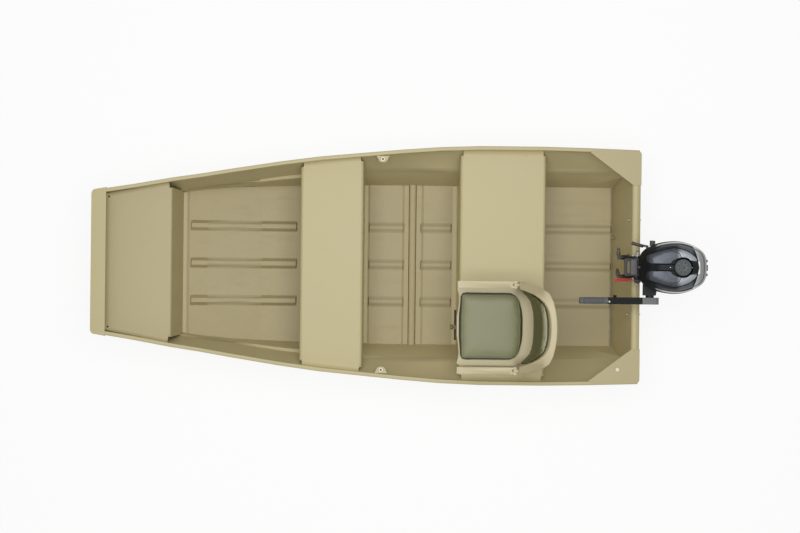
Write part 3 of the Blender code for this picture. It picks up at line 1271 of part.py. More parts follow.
def build():
    hull_bottom()
    for side, word in ((1, "port"), (-1, "starboard")):
        hull_side(f"hull_side_{word}", side)
        gunwale(f"gunwale_{word}", side)
        gusset(f"corner_plate_{word}", side)
        oarlock(f"oarlock_socket_{word}", side)
        stern_eye(f"stern_eye_{word}", side)
        stern_handle(f"stern_handle_{word}", side)
        armrest(f"armrest_{word}", side)
        clamp_bracket(f"clamp_bracket_{word}", side)
    clamp_screw("clamp_screw_port", 1, -0.026, 50)
    clamp_screw("clamp_screw_starboard", -1, -0.018, 0)
    bow_panel()
    transom()
    bow_cap()
    bow_deck()
    bench("middle_bench", MIDDLE_BENCH_X, FOOT_FLANGE, FOOT_FLANGE)
    bench("rear_bench", REAR_BENCH_X, FRONT_FOOT_FLANGE, FOOT_FLANGE)
    floor_rib()
    small_fittings()
    chair_base()
    chair_turntable()
    chair_shell()
    seat_cushion()
    back_cushion()
    tilt_tube()
    swivel_bracket()
    steering_shaft()
    driveshaft_housing()
    gearcase()
    propeller()
    lower_cowl()
    upper_cowl()
    engine_block()
    fuel_cap()
    starter_handle()
    carry_handle()
    shift_lever()
    cowl_latches()
    tiller_bracket()
    tiller()
    lanyard()


build()
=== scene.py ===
"""The looks of a ten-foot jon boat with a small outboard and an armchair on its rear bench.

Metres, +X to the bow, +Y to port, +Z up, with the waterline at z = 0. The sections follow the boat as it is put
together: camera and light, the water's surface, the lanyard, the hull and its fittings, the chair and the motor.
"""

import json
import math

import bmesh
import bpy
import numpy as np
from mathutils import Matrix, Vector
from mathutils.bvhtree import BVHTree

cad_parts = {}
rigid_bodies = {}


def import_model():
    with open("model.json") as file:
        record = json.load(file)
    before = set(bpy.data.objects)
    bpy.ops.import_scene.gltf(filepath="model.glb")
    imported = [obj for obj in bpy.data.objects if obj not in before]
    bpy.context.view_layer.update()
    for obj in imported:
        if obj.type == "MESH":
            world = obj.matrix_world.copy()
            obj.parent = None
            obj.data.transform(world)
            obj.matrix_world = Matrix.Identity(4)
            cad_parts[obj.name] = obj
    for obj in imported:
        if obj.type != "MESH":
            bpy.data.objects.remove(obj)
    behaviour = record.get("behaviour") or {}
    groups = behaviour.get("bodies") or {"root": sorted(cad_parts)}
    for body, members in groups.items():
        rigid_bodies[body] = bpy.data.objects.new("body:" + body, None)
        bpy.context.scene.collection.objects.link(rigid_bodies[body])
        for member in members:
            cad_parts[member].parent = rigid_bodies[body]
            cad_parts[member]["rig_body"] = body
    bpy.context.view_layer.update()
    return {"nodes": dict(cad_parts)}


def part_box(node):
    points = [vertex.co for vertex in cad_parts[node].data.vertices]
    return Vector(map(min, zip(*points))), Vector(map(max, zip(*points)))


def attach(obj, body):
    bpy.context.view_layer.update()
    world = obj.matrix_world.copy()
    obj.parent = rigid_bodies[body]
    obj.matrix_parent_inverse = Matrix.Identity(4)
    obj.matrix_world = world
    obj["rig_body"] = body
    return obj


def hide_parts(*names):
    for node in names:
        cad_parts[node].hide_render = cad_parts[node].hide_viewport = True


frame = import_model()


# Camera. It looks straight down from 8 m above the gunwales, as the photograph does, with the bow to the left and
# the boat turned a little clockwise in the picture.

GUNWALE_Z = 0.335
CAMERA_HEIGHT = 8.0
CAMERA_PLACE = (-0.183, 0.010)
PHOTO_WIDTH = 800
METRES_PER_PIXEL = 0.00542
HEADING = math.radians(0.62)


def linked(name, data):
    """A new object of the scene for the data."""
    made = bpy.data.objects.new(name, data)
    bpy.context.scene.collection.objects.link(made)
    return made


eye = bpy.data.cameras.new("eye")
eye.sensor_width = 36.0
eye.lens = eye.sensor_width * CAMERA_HEIGHT / (PHOTO_WIDTH * METRES_PER_PIXEL)
eye.clip_end = 100.0
camera = linked("camera", eye)
picture_right = Vector((-math.cos(HEADING), -math.sin(HEADING), 0.0))
picture_up = Vector((math.sin(HEADING), -math.cos(HEADING), 0.0))
camera.matrix_world = Matrix((picture_right, picture_up, (0, 0, 1))).transposed().to_4x4()
camera.location = (*CAMERA_PLACE, GUNWALE_Z + CAMERA_HEIGHT)
bpy.context.scene.camera = camera
bpy.context.scene.view_settings.view_transform = "Standard"


# Finishes. A finish is a material with one Principled shader. A term is a value inside it, and sums and products of
# terms add Math nodes, so a pattern reads as a formula.

class Term:
    """One value of a finish. Python's operators on it add Math nodes to the same tree."""

    def __init__(self, finish, socket):
        self.finish = finish
        self.socket = socket

    def __add__(self, other):
        return self.finish.math("ADD", self, other)

    def __sub__(self, other):
        return self.finish.math("SUBTRACT", self, other)

    def __rsub__(self, other):
        return self.finish.math("SUBTRACT", other, self)

    def __mul__(self, other):
        return self.finish.math("MULTIPLY", self, other)

    def __gt__(self, other):
        return self.finish.math("GREATER_THAN", self, other)

    def __lt__(self, other):
        return self.finish.math("LESS_THAN", self, other)

    def __abs__(self):
        return self.finish.math("ABSOLUTE", self)

    __radd__ = __add__
    __rmul__ = __mul__


class Finish:
    """A material whose Principled shader takes the constants given here. node() adds any other node to its tree."""

    def __init__(self, name, colour, roughness, metallic=0.0, **constants):
        self.material = bpy.data.materials.new(name)
        self.material.use_nodes = True
        self.tree = self.material.node_tree
        self.shader = self.tree.nodes["Principled BSDF"]
        self.colour = colour
        self.set("Base Color", (*colour, 1.0))
        self.set("Roughness", roughness)
        self.set("Metallic", metallic)
        for word, value in constants.items():
            self.set(word.replace("_", " ").title().replace("Ior", "IOR"), value)
        coordinates = self.tree.nodes.new("ShaderNodeTexCoord")
        self.place = Term(self, coordinates.outputs["Object"])

    def feed(self, socket, value):
        if isinstance(value, Term):
            self.tree.links.new(value.socket, socket)
        else:
            socket.default_value = value

    def set(self, name, value):
        """A value or a term for a socket of the shader."""
        self.feed(self.shader.inputs[name], value)

    def node(self, kind, settings, inputs, output=0):
        """Adds a node. Its settings come first, then the values or terms of its inputs, by name or in order."""
        made = self.tree.nodes.new(kind)
        for key, value in settings.items():
            setattr(made, key, value)
        pairs = inputs.items() if isinstance(inputs, dict) else enumerate(inputs)
        for key, value in pairs:
            self.feed(made.inputs[key], value)
        return Term(self, made.outputs[output])

    def math(self, operation, *values):
        """A Math node's result."""
        return self.node("ShaderNodeMath", {"operation": operation}, values)

    def noise(self, scale, detail=2.0, vector=None):
        """Cloudy noise between about 0.2 and 0.8, with features 1 / scale metres across."""
        return self.node("ShaderNodeTexNoise", {}, {"Vector": vector or self.place, "Scale": scale, "Detail": detail})

    def axes(self):
        """The three coordinates of the place on the piece."""
        return [self.node("ShaderNodeSeparateXYZ", {}, (self.place,), k) for k in range(3)]

    def mark(self, name):
        """A value kept at the points of the mesh."""
        return self.node("ShaderNodeAttribute", {"attribute_name": name}, (), 2)

    def stretched(self, scale):
        """The place on the piece with its axes stretched by the three factors."""
        return self.node("ShaderNodeMapping", {}, {"Vector": self.place, "Scale": scale})

    def ramp(self, value, low, high):
        """0 below low, 1 above high and straight between them."""
        return self.node("ShaderNodeMapRange", {}, (value, low, high, 0.0, 1.0))

    def mixed(self, share, *colours):
        """A colour between two colours, each a term or a red, green and blue."""
        first, second = (colour if isinstance(colour, Term) else (*colour, 1.0) for colour in colours)
        return self.node("ShaderNodeMix", {"data_type": "RGBA"}, {0: share, 6: first, 7: second}, 2)

    def shaded(self, low, high, share):
        """The finish's own colour times a factor from low to high."""
        return self.mixed(share, [c * low for c in self.colour], [c * high for c in self.colour])

    def base(self):
        """The term that feeds the base colour so far."""
        return Term(self, self.shader.inputs["Base Color"].links[0].from_socket)

    def bump(self, height, distance, strength=1.0, below=None):
        """Bumps of the surface from a height, distance metres for a height of 1."""
        inputs = {"Height": height, "Distance": distance, "Strength": strength}
        if below:
            inputs["Normal"] = below
        return self.node("ShaderNodeBump", {}, inputs)


def linear(red, green, blue):
    """A colour read from a picture, 0 to 255, as the linear values that Blender wants."""
    return tuple(c / 255 / 12.92 if c <= 10 else ((c / 255 + 0.055) / 1.055) ** 2.4 for c in (red, green, blue))


# Water's surface. A plain pale floor at the waterline, open where the hull passes through it, so that the boat sits in
# it. It is white to the camera where no shadow falls, with a light shadow, and clear from below.

FLOOR_HALF = 30.0
WATERLINE_X = (-1.42, -0.9, -0.2, 0.30, 0.55, 0.72, 0.80)
WATERLINE_HALF = (0.462, 0.466, 0.466, 0.461, 0.452, 0.437, 0.424)
SHADOW_SHARE = 0.88

floor_finish = Finish("pale_floor", (1.0, 1.0, 1.0), 1.0, specular_ior_level=0.0)
facing, seen_by, clear, white, lifted, either = (
    floor_finish.tree.nodes.new("ShaderNode" + kind)
    for kind in ("NewGeometry", "LightPath", "BsdfTransparent", "Emission", "MixShader", "MixShader")
)
lift = Term(floor_finish, seen_by.outputs["Is Camera Ray"]) * SHADOW_SHARE
for source, socket in (
    (lift.socket, lifted.inputs[0]), (floor_finish.shader.outputs[0], lifted.inputs[1]),
    (white.outputs[0], lifted.inputs[2]), (facing.outputs["Backfacing"], either.inputs[0]),
    (lifted.outputs[0], either.inputs[1]), (clear.outputs[0], either.inputs[2]),
    (either.outputs[0], floor_finish.tree.nodes["Material Output"].inputs["Surface"]),
):
    floor_finish.tree.links.new(source, socket)


def water_surface():
    """A flat ring of faces from the waterline's outline to a far square, as inner and outer points at like angles."""
    port = np.column_stack([WATERLINE_X, WATERLINE_HALF])
    inner = np.concatenate([port, port[::-1] * (1, -1)])
    reach = FLOOR_HALF / np.abs(inner).max(axis=1)
    outer = inner * reach[:, None]
    count = len(inner)
    verts = np.column_stack([np.concatenate([inner, outer]), np.zeros(2 * count)])
    step = np.arange(count)
    following = (step + 1) % count
    faces = np.column_stack([step, following, following + count, step + count])
    mesh = bpy.data.meshes.new("water_surface")
    mesh.from_pydata(verts, [], faces.tolist())
    mesh.materials.append(floor_finish.material)
    floor = linked("water_surface", mesh)


water_surface()


# Light. A pale sky all round and one wide soft light from above, a little to starboard. Together they light a level
# surface so that a colour shows about as it is written. The sky is white to the camera and in reflections.

SKY_LEVEL = 0.37
SOFT_LIGHT_PLACE = (-0.2, -0.35, 5.6)
SOFT_LIGHT_SIZE = (4.6, 3.6)
SOFT_LIGHT_WATTS = 176.0
SOFT_LIGHT_AIM = (-0.2, 0.0, 0.2)

world = bpy.data.worlds.new("pale_sky")
bpy.context.scene.world = world
world.use_nodes = True
sky = world.node_tree.nodes["Background"]
sky.inputs["Color"].default_value = (1.0, 1.0, 1.0, 1.0)
rays = world.node_tree.nodes.new("ShaderNodeLightPath")
seen = world.node_tree.nodes.new("ShaderNodeMath")
seen.operation = "MAXIMUM"
world.node_tree.links.new(rays.outputs["Is Camera Ray"], seen.inputs[0])
world.node_tree.links.new(rays.outputs["Is Glossy Ray"], seen.inputs[1])
level = world.node_tree.nodes.new("ShaderNodeMapRange")
level.inputs["To Min"].default_value = SKY_LEVEL
world.node_tree.links.new(seen.outputs[0], level.inputs["Value"])
world.node_tree.links.new(level.outputs[0], sky.inputs["Strength"])

lamp = bpy.data.lights.new("soft_light", "AREA")
lamp.shape = "RECTANGLE"
lamp.size, lamp.size_y = SOFT_LIGHT_SIZE
lamp.energy = SOFT_LIGHT_WATTS
soft_light = linked("soft_light", lamp)
soft_light.location = SOFT_LIGHT_PLACE
soft_light.rotation_euler = (Vector(SOFT_LIGHT_AIM) - soft_light.location).to_track_quat("-Z", "Y").to_euler()
soft_light.visible_camera = False


# Lanyard. The red curly cord of the stop switch hangs from the switch beside the carrying handle, with a small clip
# at its low end. It is limp vinyl, 3.2 mm thick, wound in a helix along the route that its CAD tube follows.

LANYARD_ROUTE = (
    (-1.4318, 0.0700, 0.4580), (-1.4120, 0.0690, 0.4595), (-1.3920, 0.0670, 0.4570), (-1.3730, 0.0670, 0.4480),
    (-1.3580, 0.0690, 0.4340), (-1.3480, 0.0715, 0.4160), (-1.3440, 0.0730, 0.3950),
)
LANYARD_RADIUS = 0.0094
LANYARD_WIRE = 0.0032
LANYARD_PITCH = 0.0046
LANYARD_POINTS = 420
LANYARD_LEAD, LANYARD_WIDENS = 0.008, 0.010
LANYARD_TAIL, LANYARD_NARROWS = 0.004, 0.006

red_vinyl = Finish("red_vinyl", linear(206, 62, 56), 0.35, coat_weight=0.3)
red_vinyl.set("Roughness", red_vinyl.noise(400.0) * 0.2 + 0.25)
red_vinyl.set("Base Color", red_vinyl.shaded(0.8, 1.15, red_vinyl.noise(60.0)))


def smooth_line(points, count, closed=False):
    """Evenly spaced points of a smooth curve through the points, by cubic pieces that share their slopes, and the
    curve's length."""
    points = np.array(points, float)
    if closed:
        points = np.concatenate([points, points[:1]])
        padded = np.concatenate([points[-2:-1], points, points[1:2]])
    else:
        padded = np.concatenate([[2 * points[0] - points[1]], points, [2 * points[-1] - points[-2]]])
    slope = (padded[2:] - padded[:-2]) / 2
    t = np.linspace(0.0, 1.0, 24, endpoint=False)[:, None, None]
    a, b, m, n = points[:-1], points[1:], slope[:-1], slope[1:]
    piece = (2 * t**3 - 3 * t**2 + 1) * a + (t**3 - 2 * t**2 + t) * m + (3 * t**2 - 2 * t**3) * b + (t**3 - t**2) * n
    line = np.concatenate([piece.transpose(1, 0, 2).reshape(-1, points.shape[1]), points[-1:]])
    walked = np.concatenate([[0.0], np.cumsum(np.linalg.norm(np.diff(line, axis=0), axis=1))])
    at = np.linspace(0.0, walked[-1], count, endpoint=not closed)
    return np.column_stack([np.interp(at, walked, column) for column in line.T]), walked[-1]


def lanyard_line():
    """The wire's centreline: a short straight lead, then a helix about the route, which narrows at both ends."""
    route, length = smooth_line(LANYARD_ROUTE, LANYARD_POINTS)
    along = np.gradient(route, axis=0)
    along /= np.linalg.norm(along, axis=1)[:, None]
    side = np.cross(along, (0.0, 1.0, 0.0))
    side /= np.linalg.norm(side, axis=1)[:, None]
    other = np.cross(along, side)
    walked = np.linspace(0.0, length, len(route))
    wound = LANYARD_RADIUS - LANYARD_WIRE / 2 - 0.0001
    from_start = (walked - LANYARD_LEAD) / LANYARD_WIDENS
    to_end = (length - LANYARD_TAIL - walked) / LANYARD_NARROWS
    radius = wound * np.clip(np.minimum(from_start, to_end), 0.0, 1.0)
    angle = 2 * math.pi * walked / LANYARD_PITCH
    return route + radius[:, None] * (np.cos(angle)[:, None] * side + np.sin(angle)[:, None] * other)


def curve_piece(name, line, thickness, finish):
    """A round wire along a line of points, as a curve."""
    curve = bpy.data.curves.new(name, "CURVE")
    curve.dimensions = "3D"
    curve.bevel_depth = thickness / 2
    curve.bevel_resolution = 3
    curve.use_fill_caps = True
    spline = curve.splines.new("POLY")
    spline.points.add(len(line) - 1)
    spline.points.foreach_set("co", np.column_stack([line, np.ones(len(line))]).ravel())
    curve.materials.append(finish.material)
    return linked(name, curve)


def surface(name, grid, finish, body, marks=None):
    """Smooth faces between the neighbouring points of grids given as (grids, rows, columns, 3). The columns close on
    themselves, points that fall together become one, and marks are values kept at the points."""
    grid = grid.reshape(-1, *grid.shape[-3:])
    count, rows, columns = grid.shape[:3]
    start = np.arange(count)[:, None, None] * rows * columns + np.arange(rows - 1)[None, :, None] * columns
    column = np.arange(columns)[None, None, :]
    a, b = start + column, start + (column + 1) % columns
    faces = np.stack([a, b, b + columns, a + columns], axis=-1).reshape(-1, 4)
    mesh = bpy.data.meshes.new(name)
    mesh.from_pydata(grid.reshape(-1, 3), [], faces.tolist())
    for mark, values in (marks or {}).items():
        mesh.attributes.new(mark, "FLOAT", "POINT").data.foreach_set("value", np.ravel(values).astype(np.float32))
    work = bmesh.new()
    work.from_mesh(mesh)
    bmesh.ops.remove_doubles(work, verts=work.verts, dist=1e-6)
    bmesh.ops.recalc_face_normals(work, faces=work.faces)
    for face in work.faces:
        face.smooth = True
    work.to_mesh(mesh)
    work.free()
    mesh.materials.append(finish.material)
    made = linked(name, mesh)
    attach(made, body)
    return made


def turned(places, facings, profile, around=32, flutes=0, depth=0.0):
    """Grids of one profile of (r, h) turned about an axis at each place p with facing n: the points are
    p + h n + r (cos a u + sin a v), with u and v across n. Flutes make r smaller by depth (1 - cos(flutes a)) / 2."""
    places, facings = np.atleast_2d(places), np.atleast_2d(facings)
    facings = facings / np.linalg.norm(facings, axis=1)[:, None]
    lean = np.where(np.abs(facings[:, :1]) > 0.9, (0.0, 1.0, 0.0), (1.0, 0.0, 0.0))
    across = np.cross(facings, lean)
    across /= np.linalg.norm(across, axis=1)[:, None]
    other = np.cross(facings, across)
    radius, height = np.array(profile, float).T
    angle = np.arange(around) * 2 * math.pi / around
    spread = np.cos(angle)[None, :, None] * across[:, None] + np.sin(angle)[None, :, None] * other[:, None]
    inset = depth * (1 - np.cos(flutes * angle)) / 2
    reach = np.maximum(radius[:, None] - inset * (radius[:, None] > 2 * depth), 0.0)
    axis = places[:, None] + height[None, :, None] * facings[:, None]
    return axis[:, :, None] + reach[None, :, :, None] * spread[:, None]


wire_line = lanyard_line()
lanyard = curve_piece("lanyard_cord", wire_line, LANYARD_WIRE, red_vinyl)
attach(lanyard, "motor")
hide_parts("lanyard")

CLIP_PROFILE = ((0, -0.0045), (0.0026, -0.0045), (0.0032, -0.0038), (0.0032, -0.0005), (0.0024, 0.0), (0.0024, 0.0012),
                (0, 0.0012))
cream = Finish("cream_plastic", linear(244, 236, 212), 0.45)
cream.set("Base Color", cream.shaded(0.88, 1.04, cream.noise(120.0, 3.0)))
clip = surface("lanyard_clip", turned(wire_line[-1] + (0, 0, 0.0015), (0, 0, 1), CLIP_PROFILE, 24), cream, "motor")


# Painted sheet. The hull, benches and deck are aluminium sheet in a satin khaki paint with a faint orange peel. The
# paint is a little uneven, the wide sheets are not quite flat, and the floor has taken some dust and scuffs.

KHAKI = linear(192, 180, 134)
FLOOR_KHAKI = linear(172, 159, 117)

khaki_paint = Finish("khaki_paint", KHAKI, 0.42)
side_paint = Finish("side_paint", linear(190, 178, 136), 0.42)
floor_paint = Finish("floor_paint", FLOOR_KHAKI, 0.5)
bow_paint = Finish("bow_paint", linear(183, 171, 129), 0.45)


def painted(finish, peel=0.00008, waviness=0.0009, dust=0.0):
    """Cloudy shade and gloss, orange peel 1.5 mm across, slow waves of the sheet, and dust and fine scuffs where the
    finish has some."""
    cloud = finish.noise(3.1, 3.0)
    fine = finish.noise(46.0, 4.0)
    tone = cloud * 0.6 + fine * 0.4
    waves = finish.bump(finish.noise(5.5, 1.0), waviness)
    grain = finish.bump(finish.noise(650.0, 2.0), peel, 0.5, waves)
    if dust:
        scuffs = finish.ramp(finish.noise(38.0, 5.0, finish.stretched((0.12, 1.0, 1.0))), 0.56, 0.74)
        cover = scuffs * dust + cloud * 0.25
        dusty = [c * 0.72 + grey for c, grey in zip(finish.colour, (0.16, 0.14, 0.11))]
        finish.set("Base Color", finish.mixed(cover, finish.shaded(0.92, 1.05, tone), dusty))
        finish.set("Roughness", fine * 0.16 + cover * 0.4 + 0.34)
    else:
        finish.set("Base Color", finish.shaded(0.93, 1.05, tone))
        finish.set("Roughness", fine * 0.16 + cloud * 0.10 + 0.30)
    finish.set("Normal", grain)
    return grain


painted(khaki_paint)
painted(side_paint)
painted(bow_paint)
floor_grain = painted(floor_paint, dust=0.35)

# The floor's pressed panels end in low steps across the boat, a little off the ends of the ribs.
FLOOR_STEPS = (-0.308, -0.199, -0.003, 1.004)
floor_x, floor_y, _ = floor_paint.axes()
pressed = 0.0
for step_x in FLOOR_STEPS:
    pressed = floor_paint.ramp(abs(floor_x - step_x), 0.006, 0.0) + pressed
floor_paint.set("Normal", floor_paint.bump(pressed, -0.0030, 0.8, floor_grain))

# Painted shade darkens the floor along the foot of the transom and on the sloped walls of the pressed ribs.
RIB_CENTRE = 0.210
RIB_SPANS = ((-1.372, -0.950), (-0.466, -0.303), (-0.198, -0.010), (0.409, 0.985))
RIB_END = 0.008
TRANSOM_FOOT = (-1.366, -1.378)
off_middle = abs(floor_y)
off = floor_paint.math("MINIMUM", off_middle, abs(off_middle - RIB_CENTRE))
on_rib = 0.0
for aft, fore in RIB_SPANS:
    on_rib = (floor_x > aft - RIB_END) * (floor_x < fore + RIB_END) + on_rib
# A band of painted shade on the sloped walls of the ribs.
wall = floor_paint.ramp(off, 0.009, 0.014) * floor_paint.ramp(off, 0.033, 0.027) * on_rib * 0.22
transom_foot_shade = floor_paint.ramp(floor_x + floor_paint.noise(30.0, 3.0) * 0.006, *TRANSOM_FOOT) * 0.75
painted_shade = floor_paint.math("MAXIMUM", transom_foot_shade, wall)
floor_paint.set("Base Color", floor_paint.mixed(painted_shade, floor_paint.base(), linear(92, 80, 48)))


SHORTEST_FOLD = 0.15
FOLD_FACES = 2.5


def finished_copy(node, finish, slot, fold=0.0, rim=0.0006, smooth_below=33.0):
    """A merged copy of a CAD node that replaces it, with its edges rounded by a bevel. An edge that turns by less than
    smooth_below degrees is shaded smooth. One longer than SHORTEST_FOLD between two faces wider than FOLD_FACES folds
    is a fold in the sheet, and any other is a rim."""
    source = frame["nodes"][node]
    body = source["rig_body"]
    mesh = source.data.copy()
    mesh.name = node + "_skin"
    if "custom_normal" in mesh.attributes:
        mesh.attributes.remove(mesh.attributes["custom_normal"])
    work = bmesh.new()
    work.from_mesh(mesh)
    bmesh.ops.remove_doubles(work, verts=work.verts, dist=2e-6)
    bmesh.ops.dissolve_limit(work, angle_limit=math.radians(0.4), verts=work.verts, edges=work.edges)
    weight = work.edges.layers.float.new("bevel_weight_edge")
    widest = max(fold, rim)
    for edge in work.edges:
        turn = math.degrees(edge.calc_face_angle(0.0))
        edge.smooth = True
        if turn > smooth_below:
            width = min(face.calc_area() for face in edge.link_faces) / edge.calc_length()
            folded = width > FOLD_FACES * fold and edge.calc_length() > SHORTEST_FOLD
            edge[weight] = (fold if folded else rim) / widest
    for face in work.faces:
        face.smooth = True
    work.to_mesh(mesh)
    work.free()
    mesh.materials.clear()
    mesh.materials.append(finish.material)
    made = linked(mesh.name, mesh)
    bevel = made.modifiers.new("rounded", "BEVEL")
    bevel.limit_method = "WEIGHT"
    bevel.width = widest
    bevel.segments = 3 if fold else 2
    bevel.use_clamp_overlap = not fold
    weighted = made.modifiers.new("even_shade", "WEIGHTED_NORMAL")
    weighted.keep_sharp = True
    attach(made, body)
    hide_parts(node)


def touched(node, starts, direction):
    """Where rays from the starts first meet a CAD node, and how its surface faces there."""
    mesh = frame["nodes"][node].data
    tree = BVHTree.FromPolygons([v.co for v in mesh.vertices], [p.vertices for p in mesh.polygons])
    hits = [tree.ray_cast(Vector(start), Vector(direction)) for start in starts]
    hits = [hit for hit in hits if hit[0] is not None]
    return np.array([hit[0] for hit in hits]), np.array([hit[1] for hit in hits])


for nodes, finish, choices in (
    (("hull_bottom",), floor_paint, {}),
    (("hull_side_port", "hull_side_starboard"), side_paint, {"smooth_below": 13.0}),
    (("bow_panel", "transom_skin", "transom_board"), side_paint, {}),
    (("bow_deck",), bow_paint, {"fold": 0.011}),
    (("middle_bench", "rear_bench"), khaki_paint, {"fold": 0.011}),
    (("gunwale_port", "gunwale_starboard"), khaki_paint, {"fold": 0.004}),
    (("transom_cap", "bow_cap"), khaki_paint, {"rim": 0.0008}),
    (("oarlock_socket_port", "oarlock_socket_starboard"), khaki_paint, {}),
    (("stern_handle_port", "stern_handle_starboard"), khaki_paint, {}),
    (("corner_plate_port", "corner_plate_starboard"), bow_paint, {}),
    (("floor_rib",), floor_paint, {}),
):
    for node in nodes:
        finished_copy(node, finish, "tan_paint", **choices)


# Rivets. Painted round heads hold the benches and the deck to the sides, three a row from outside, and one shows at
# each end of the rear bench.

RIVET = ((0, -0.0002), (0.0046, -0.0002), (0.0045, 0.0006), (0.0036, 0.0017), (0.0020, 0.0024), (0, 0.0026))
RIVET_X = [start + step for start in (-0.94, 0.05, 1.06) for step in (0.0, 0.14, 0.28)]
RIVET_Z = (0.262, 0.215)
BENCH_RIVET = (-0.866, 0.600)

for side, sign in (("port", 1), ("starboard", -1)):
    starts = [(x, sign * 0.9, z) for z in RIVET_Z for x in RIVET_X]
    rivets = turned(*touched("hull_side_" + side, starts, (0, -sign, 0)), RIVET, 10)
    surface("side_rivets_" + side, rivets, side_paint, "hull")
    starts = [(BENCH_RIVET[0], sign * BENCH_RIVET[1], 0.5)]
    rivets = turned(*touched("rear_bench", starts, (0, 0, -1)), RIVET, 10)
    surface("bench_rivets_" + side, rivets, khaki_paint, "hull")


# Deck fittings. Cream nylon rings line the oarlock sockets and dark discs close them below, two flat dark discs in the
# deck's front corners are painted shade for drain holes, and the stern eyes' nuts show inside the transom. The eyes
# and nuts are plated steel, a little dull, and the drain plug is brass.

steel = Finish("plated_steel", linear(196, 194, 188), 0.28, 1.0)
steel.set("Roughness", steel.noise(90.0, 3.0) * 0.25 + 0.16)
steel.set("Base Color", steel.shaded(0.82, 1.05, steel.noise(45.0, 3.0)))

OARLOCK_HOLE = (-0.085, 0.5716)
RING = ((0.0048, 0.0), (0.0050, 0.0022), (0.0064, 0.0036), (0.0102, 0.0036), (0.0120, 0.0024), (0.0124, 0.0),
        (0.0048, 0.0))
DRAIN = ((0, 0.0006), (0.0050, 0.0006), (0.0050, 0.0), (0, 0.0))
PLUG = ((0, 0.0006), (0.0080, 0.0006), (0.0080, 0.0), (0, 0.0))
DRAIN_PLACE = (1.403, 0.354)
EYE_NUT_PLACE = (0.258, 0.262)
plug_and_hole_shade = Finish("plug_and_hole_shade", linear(20, 18, 14), 0.8)
plug_and_hole_shade.set("Base Color", plug_and_hole_shade.shaded(0.7, 1.3, plug_and_hole_shade.noise(300.0)))
socket_low, socket_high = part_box("oarlock_socket_port")
for name, z, facing_z, profile, finish, slot in (
    ("oarlock_rings", socket_high.z, 1, RING, cream, "cream_plastic"),
    ("oarlock_plugs", socket_low.z - 0.0004, -1, PLUG, plug_and_hole_shade, "black_plastic"),
):
    holes = [(OARLOCK_HOLE[0], sign * OARLOCK_HOLE[1], z) for sign in (1, -1)]
    surface(name, turned(holes, [(0, 0, facing_z)] * 2, profile), finish, "hull")
# The drains are flat dark discs on the deck, painted shade for holes.
corners = touched("bow_deck", [(DRAIN_PLACE[0], sign * DRAIN_PLACE[1], 0.5) for sign in (-1, 1)], (0, 0, -1))
surface("deck_drains", turned(*corners, DRAIN), plug_and_hole_shade, "hull")
finished_copy("light_socket", cream, "cream_plastic")

NUT = ((0, 0.0), (0.0085, 0.0), (0.0085, 0.0055), (0.0076, 0.0065), (0.0034, 0.0065), (0.0034, 0.0105),
       (0.0026, 0.0115), (0, 0.0115))
nuts = touched("transom_board", [(-1.2, sign * EYE_NUT_PLACE[0], EYE_NUT_PLACE[1]) for sign in (-1, 1)], (-1, 0, 0))
surface("eye_nuts", turned(*nuts, NUT, 6), steel, "hull")
for node in ("stern_eye_port", "stern_eye_starboard", "chair_turntable", "tilt_tube", "steering_shaft"):
    finished_copy(node, steel, "steel")
dull_brass = Finish("dull_brass", linear(158, 146, 112), 0.5, 0.3)
dull_brass.set("Base Color", dull_brass.shaded(0.8, 1.1, dull_brass.noise(90.0, 3.0)))
finished_copy("drain_plug", dull_brass, "steel")


# Chair. It is clamped on the rear bench by a black steel foot with a tan knob. The shell and the two armrests are
# moulded tan plastic with a fine grain, and bright pins go through the armrests at the hinge and at the front.

tan_plastic = Finish("tan_plastic", linear(201, 190, 153), 0.45)


def moulded(finish, scale=900.0, depth=0.00012, low=0.94, high=1.04):
    """A moulded plastic's fine grain, cloudy shade and uneven gloss."""
    cloud = finish.noise(9.0, 3.0)
    finish.set("Base Color", finish.shaded(low, high, cloud * 0.7 + finish.noise(180.0) * 0.3))
    finish.set("Roughness", cloud * 0.2 + finish.shader.inputs["Roughness"].default_value - 0.08)
    finish.set("Normal", finish.bump(finish.noise(scale, 2.0), depth, 0.5))


moulded(tan_plastic)
for node in ("armrest_port", "armrest_starboard"):
    finished_copy(node, tan_plastic, "tan_plastic", rim=0.0016)

# The shell's wings are painted a shade browner than its rolled rim, as painted shade.
CHAIR_Y = 0.326
shell_plastic = Finish("shell_plastic", linear(201, 190, 153), 0.45)
moulded(shell_plastic)
over_x, over_y, _ = shell_plastic.axes()
painted_wing_shade = shell_plastic.ramp(abs(over_y - CHAIR_Y), 0.150, 0.190) * shell_plastic.ramp(over_x, -0.945, -0.925)
painted_wing_shade = painted_wing_shade * shell_plastic.ramp(over_x, -0.790, -0.815)
shell_plastic.set("Base Color", shell_plastic.mixed(painted_wing_shade * 0.9, shell_plastic.base(), linear(166, 153, 118)))
finished_copy("chair_shell", shell_plastic, "tan_plastic", rim=0.0016)

# The knob's parts are tan, told from the near-black foot by where they lie.
KNOB_FRONT, KNOB_Y, KNOB_HALF = -0.4797, 0.337, 0.011
KNOB_BACK = (-0.5300, -0.4900)
foot_enamel = Finish("foot_enamel", linear(30, 26, 18), 0.6, specular_ior_level=0.15)
foot_x, foot_y, _ = foot_enamel.axes()
knob_share = foot_enamel.math("MAXIMUM", foot_x > KNOB_FRONT, abs(foot_y - KNOB_Y) < KNOB_HALF)
knob_share = foot_enamel.math("MAXIMUM", knob_share, (foot_x > KNOB_BACK[0]) * (foot_x < KNOB_BACK[1]))
foot_enamel.set("Base Color", foot_enamel.mixed(knob_share, linear(34, 24, 10), linear(134, 122, 92)))
foot_enamel.set("Roughness", foot_enamel.noise(60.0, 3.0) * 0.3 + 0.45)
finished_copy("chair_base", foot_enamel, "steel")

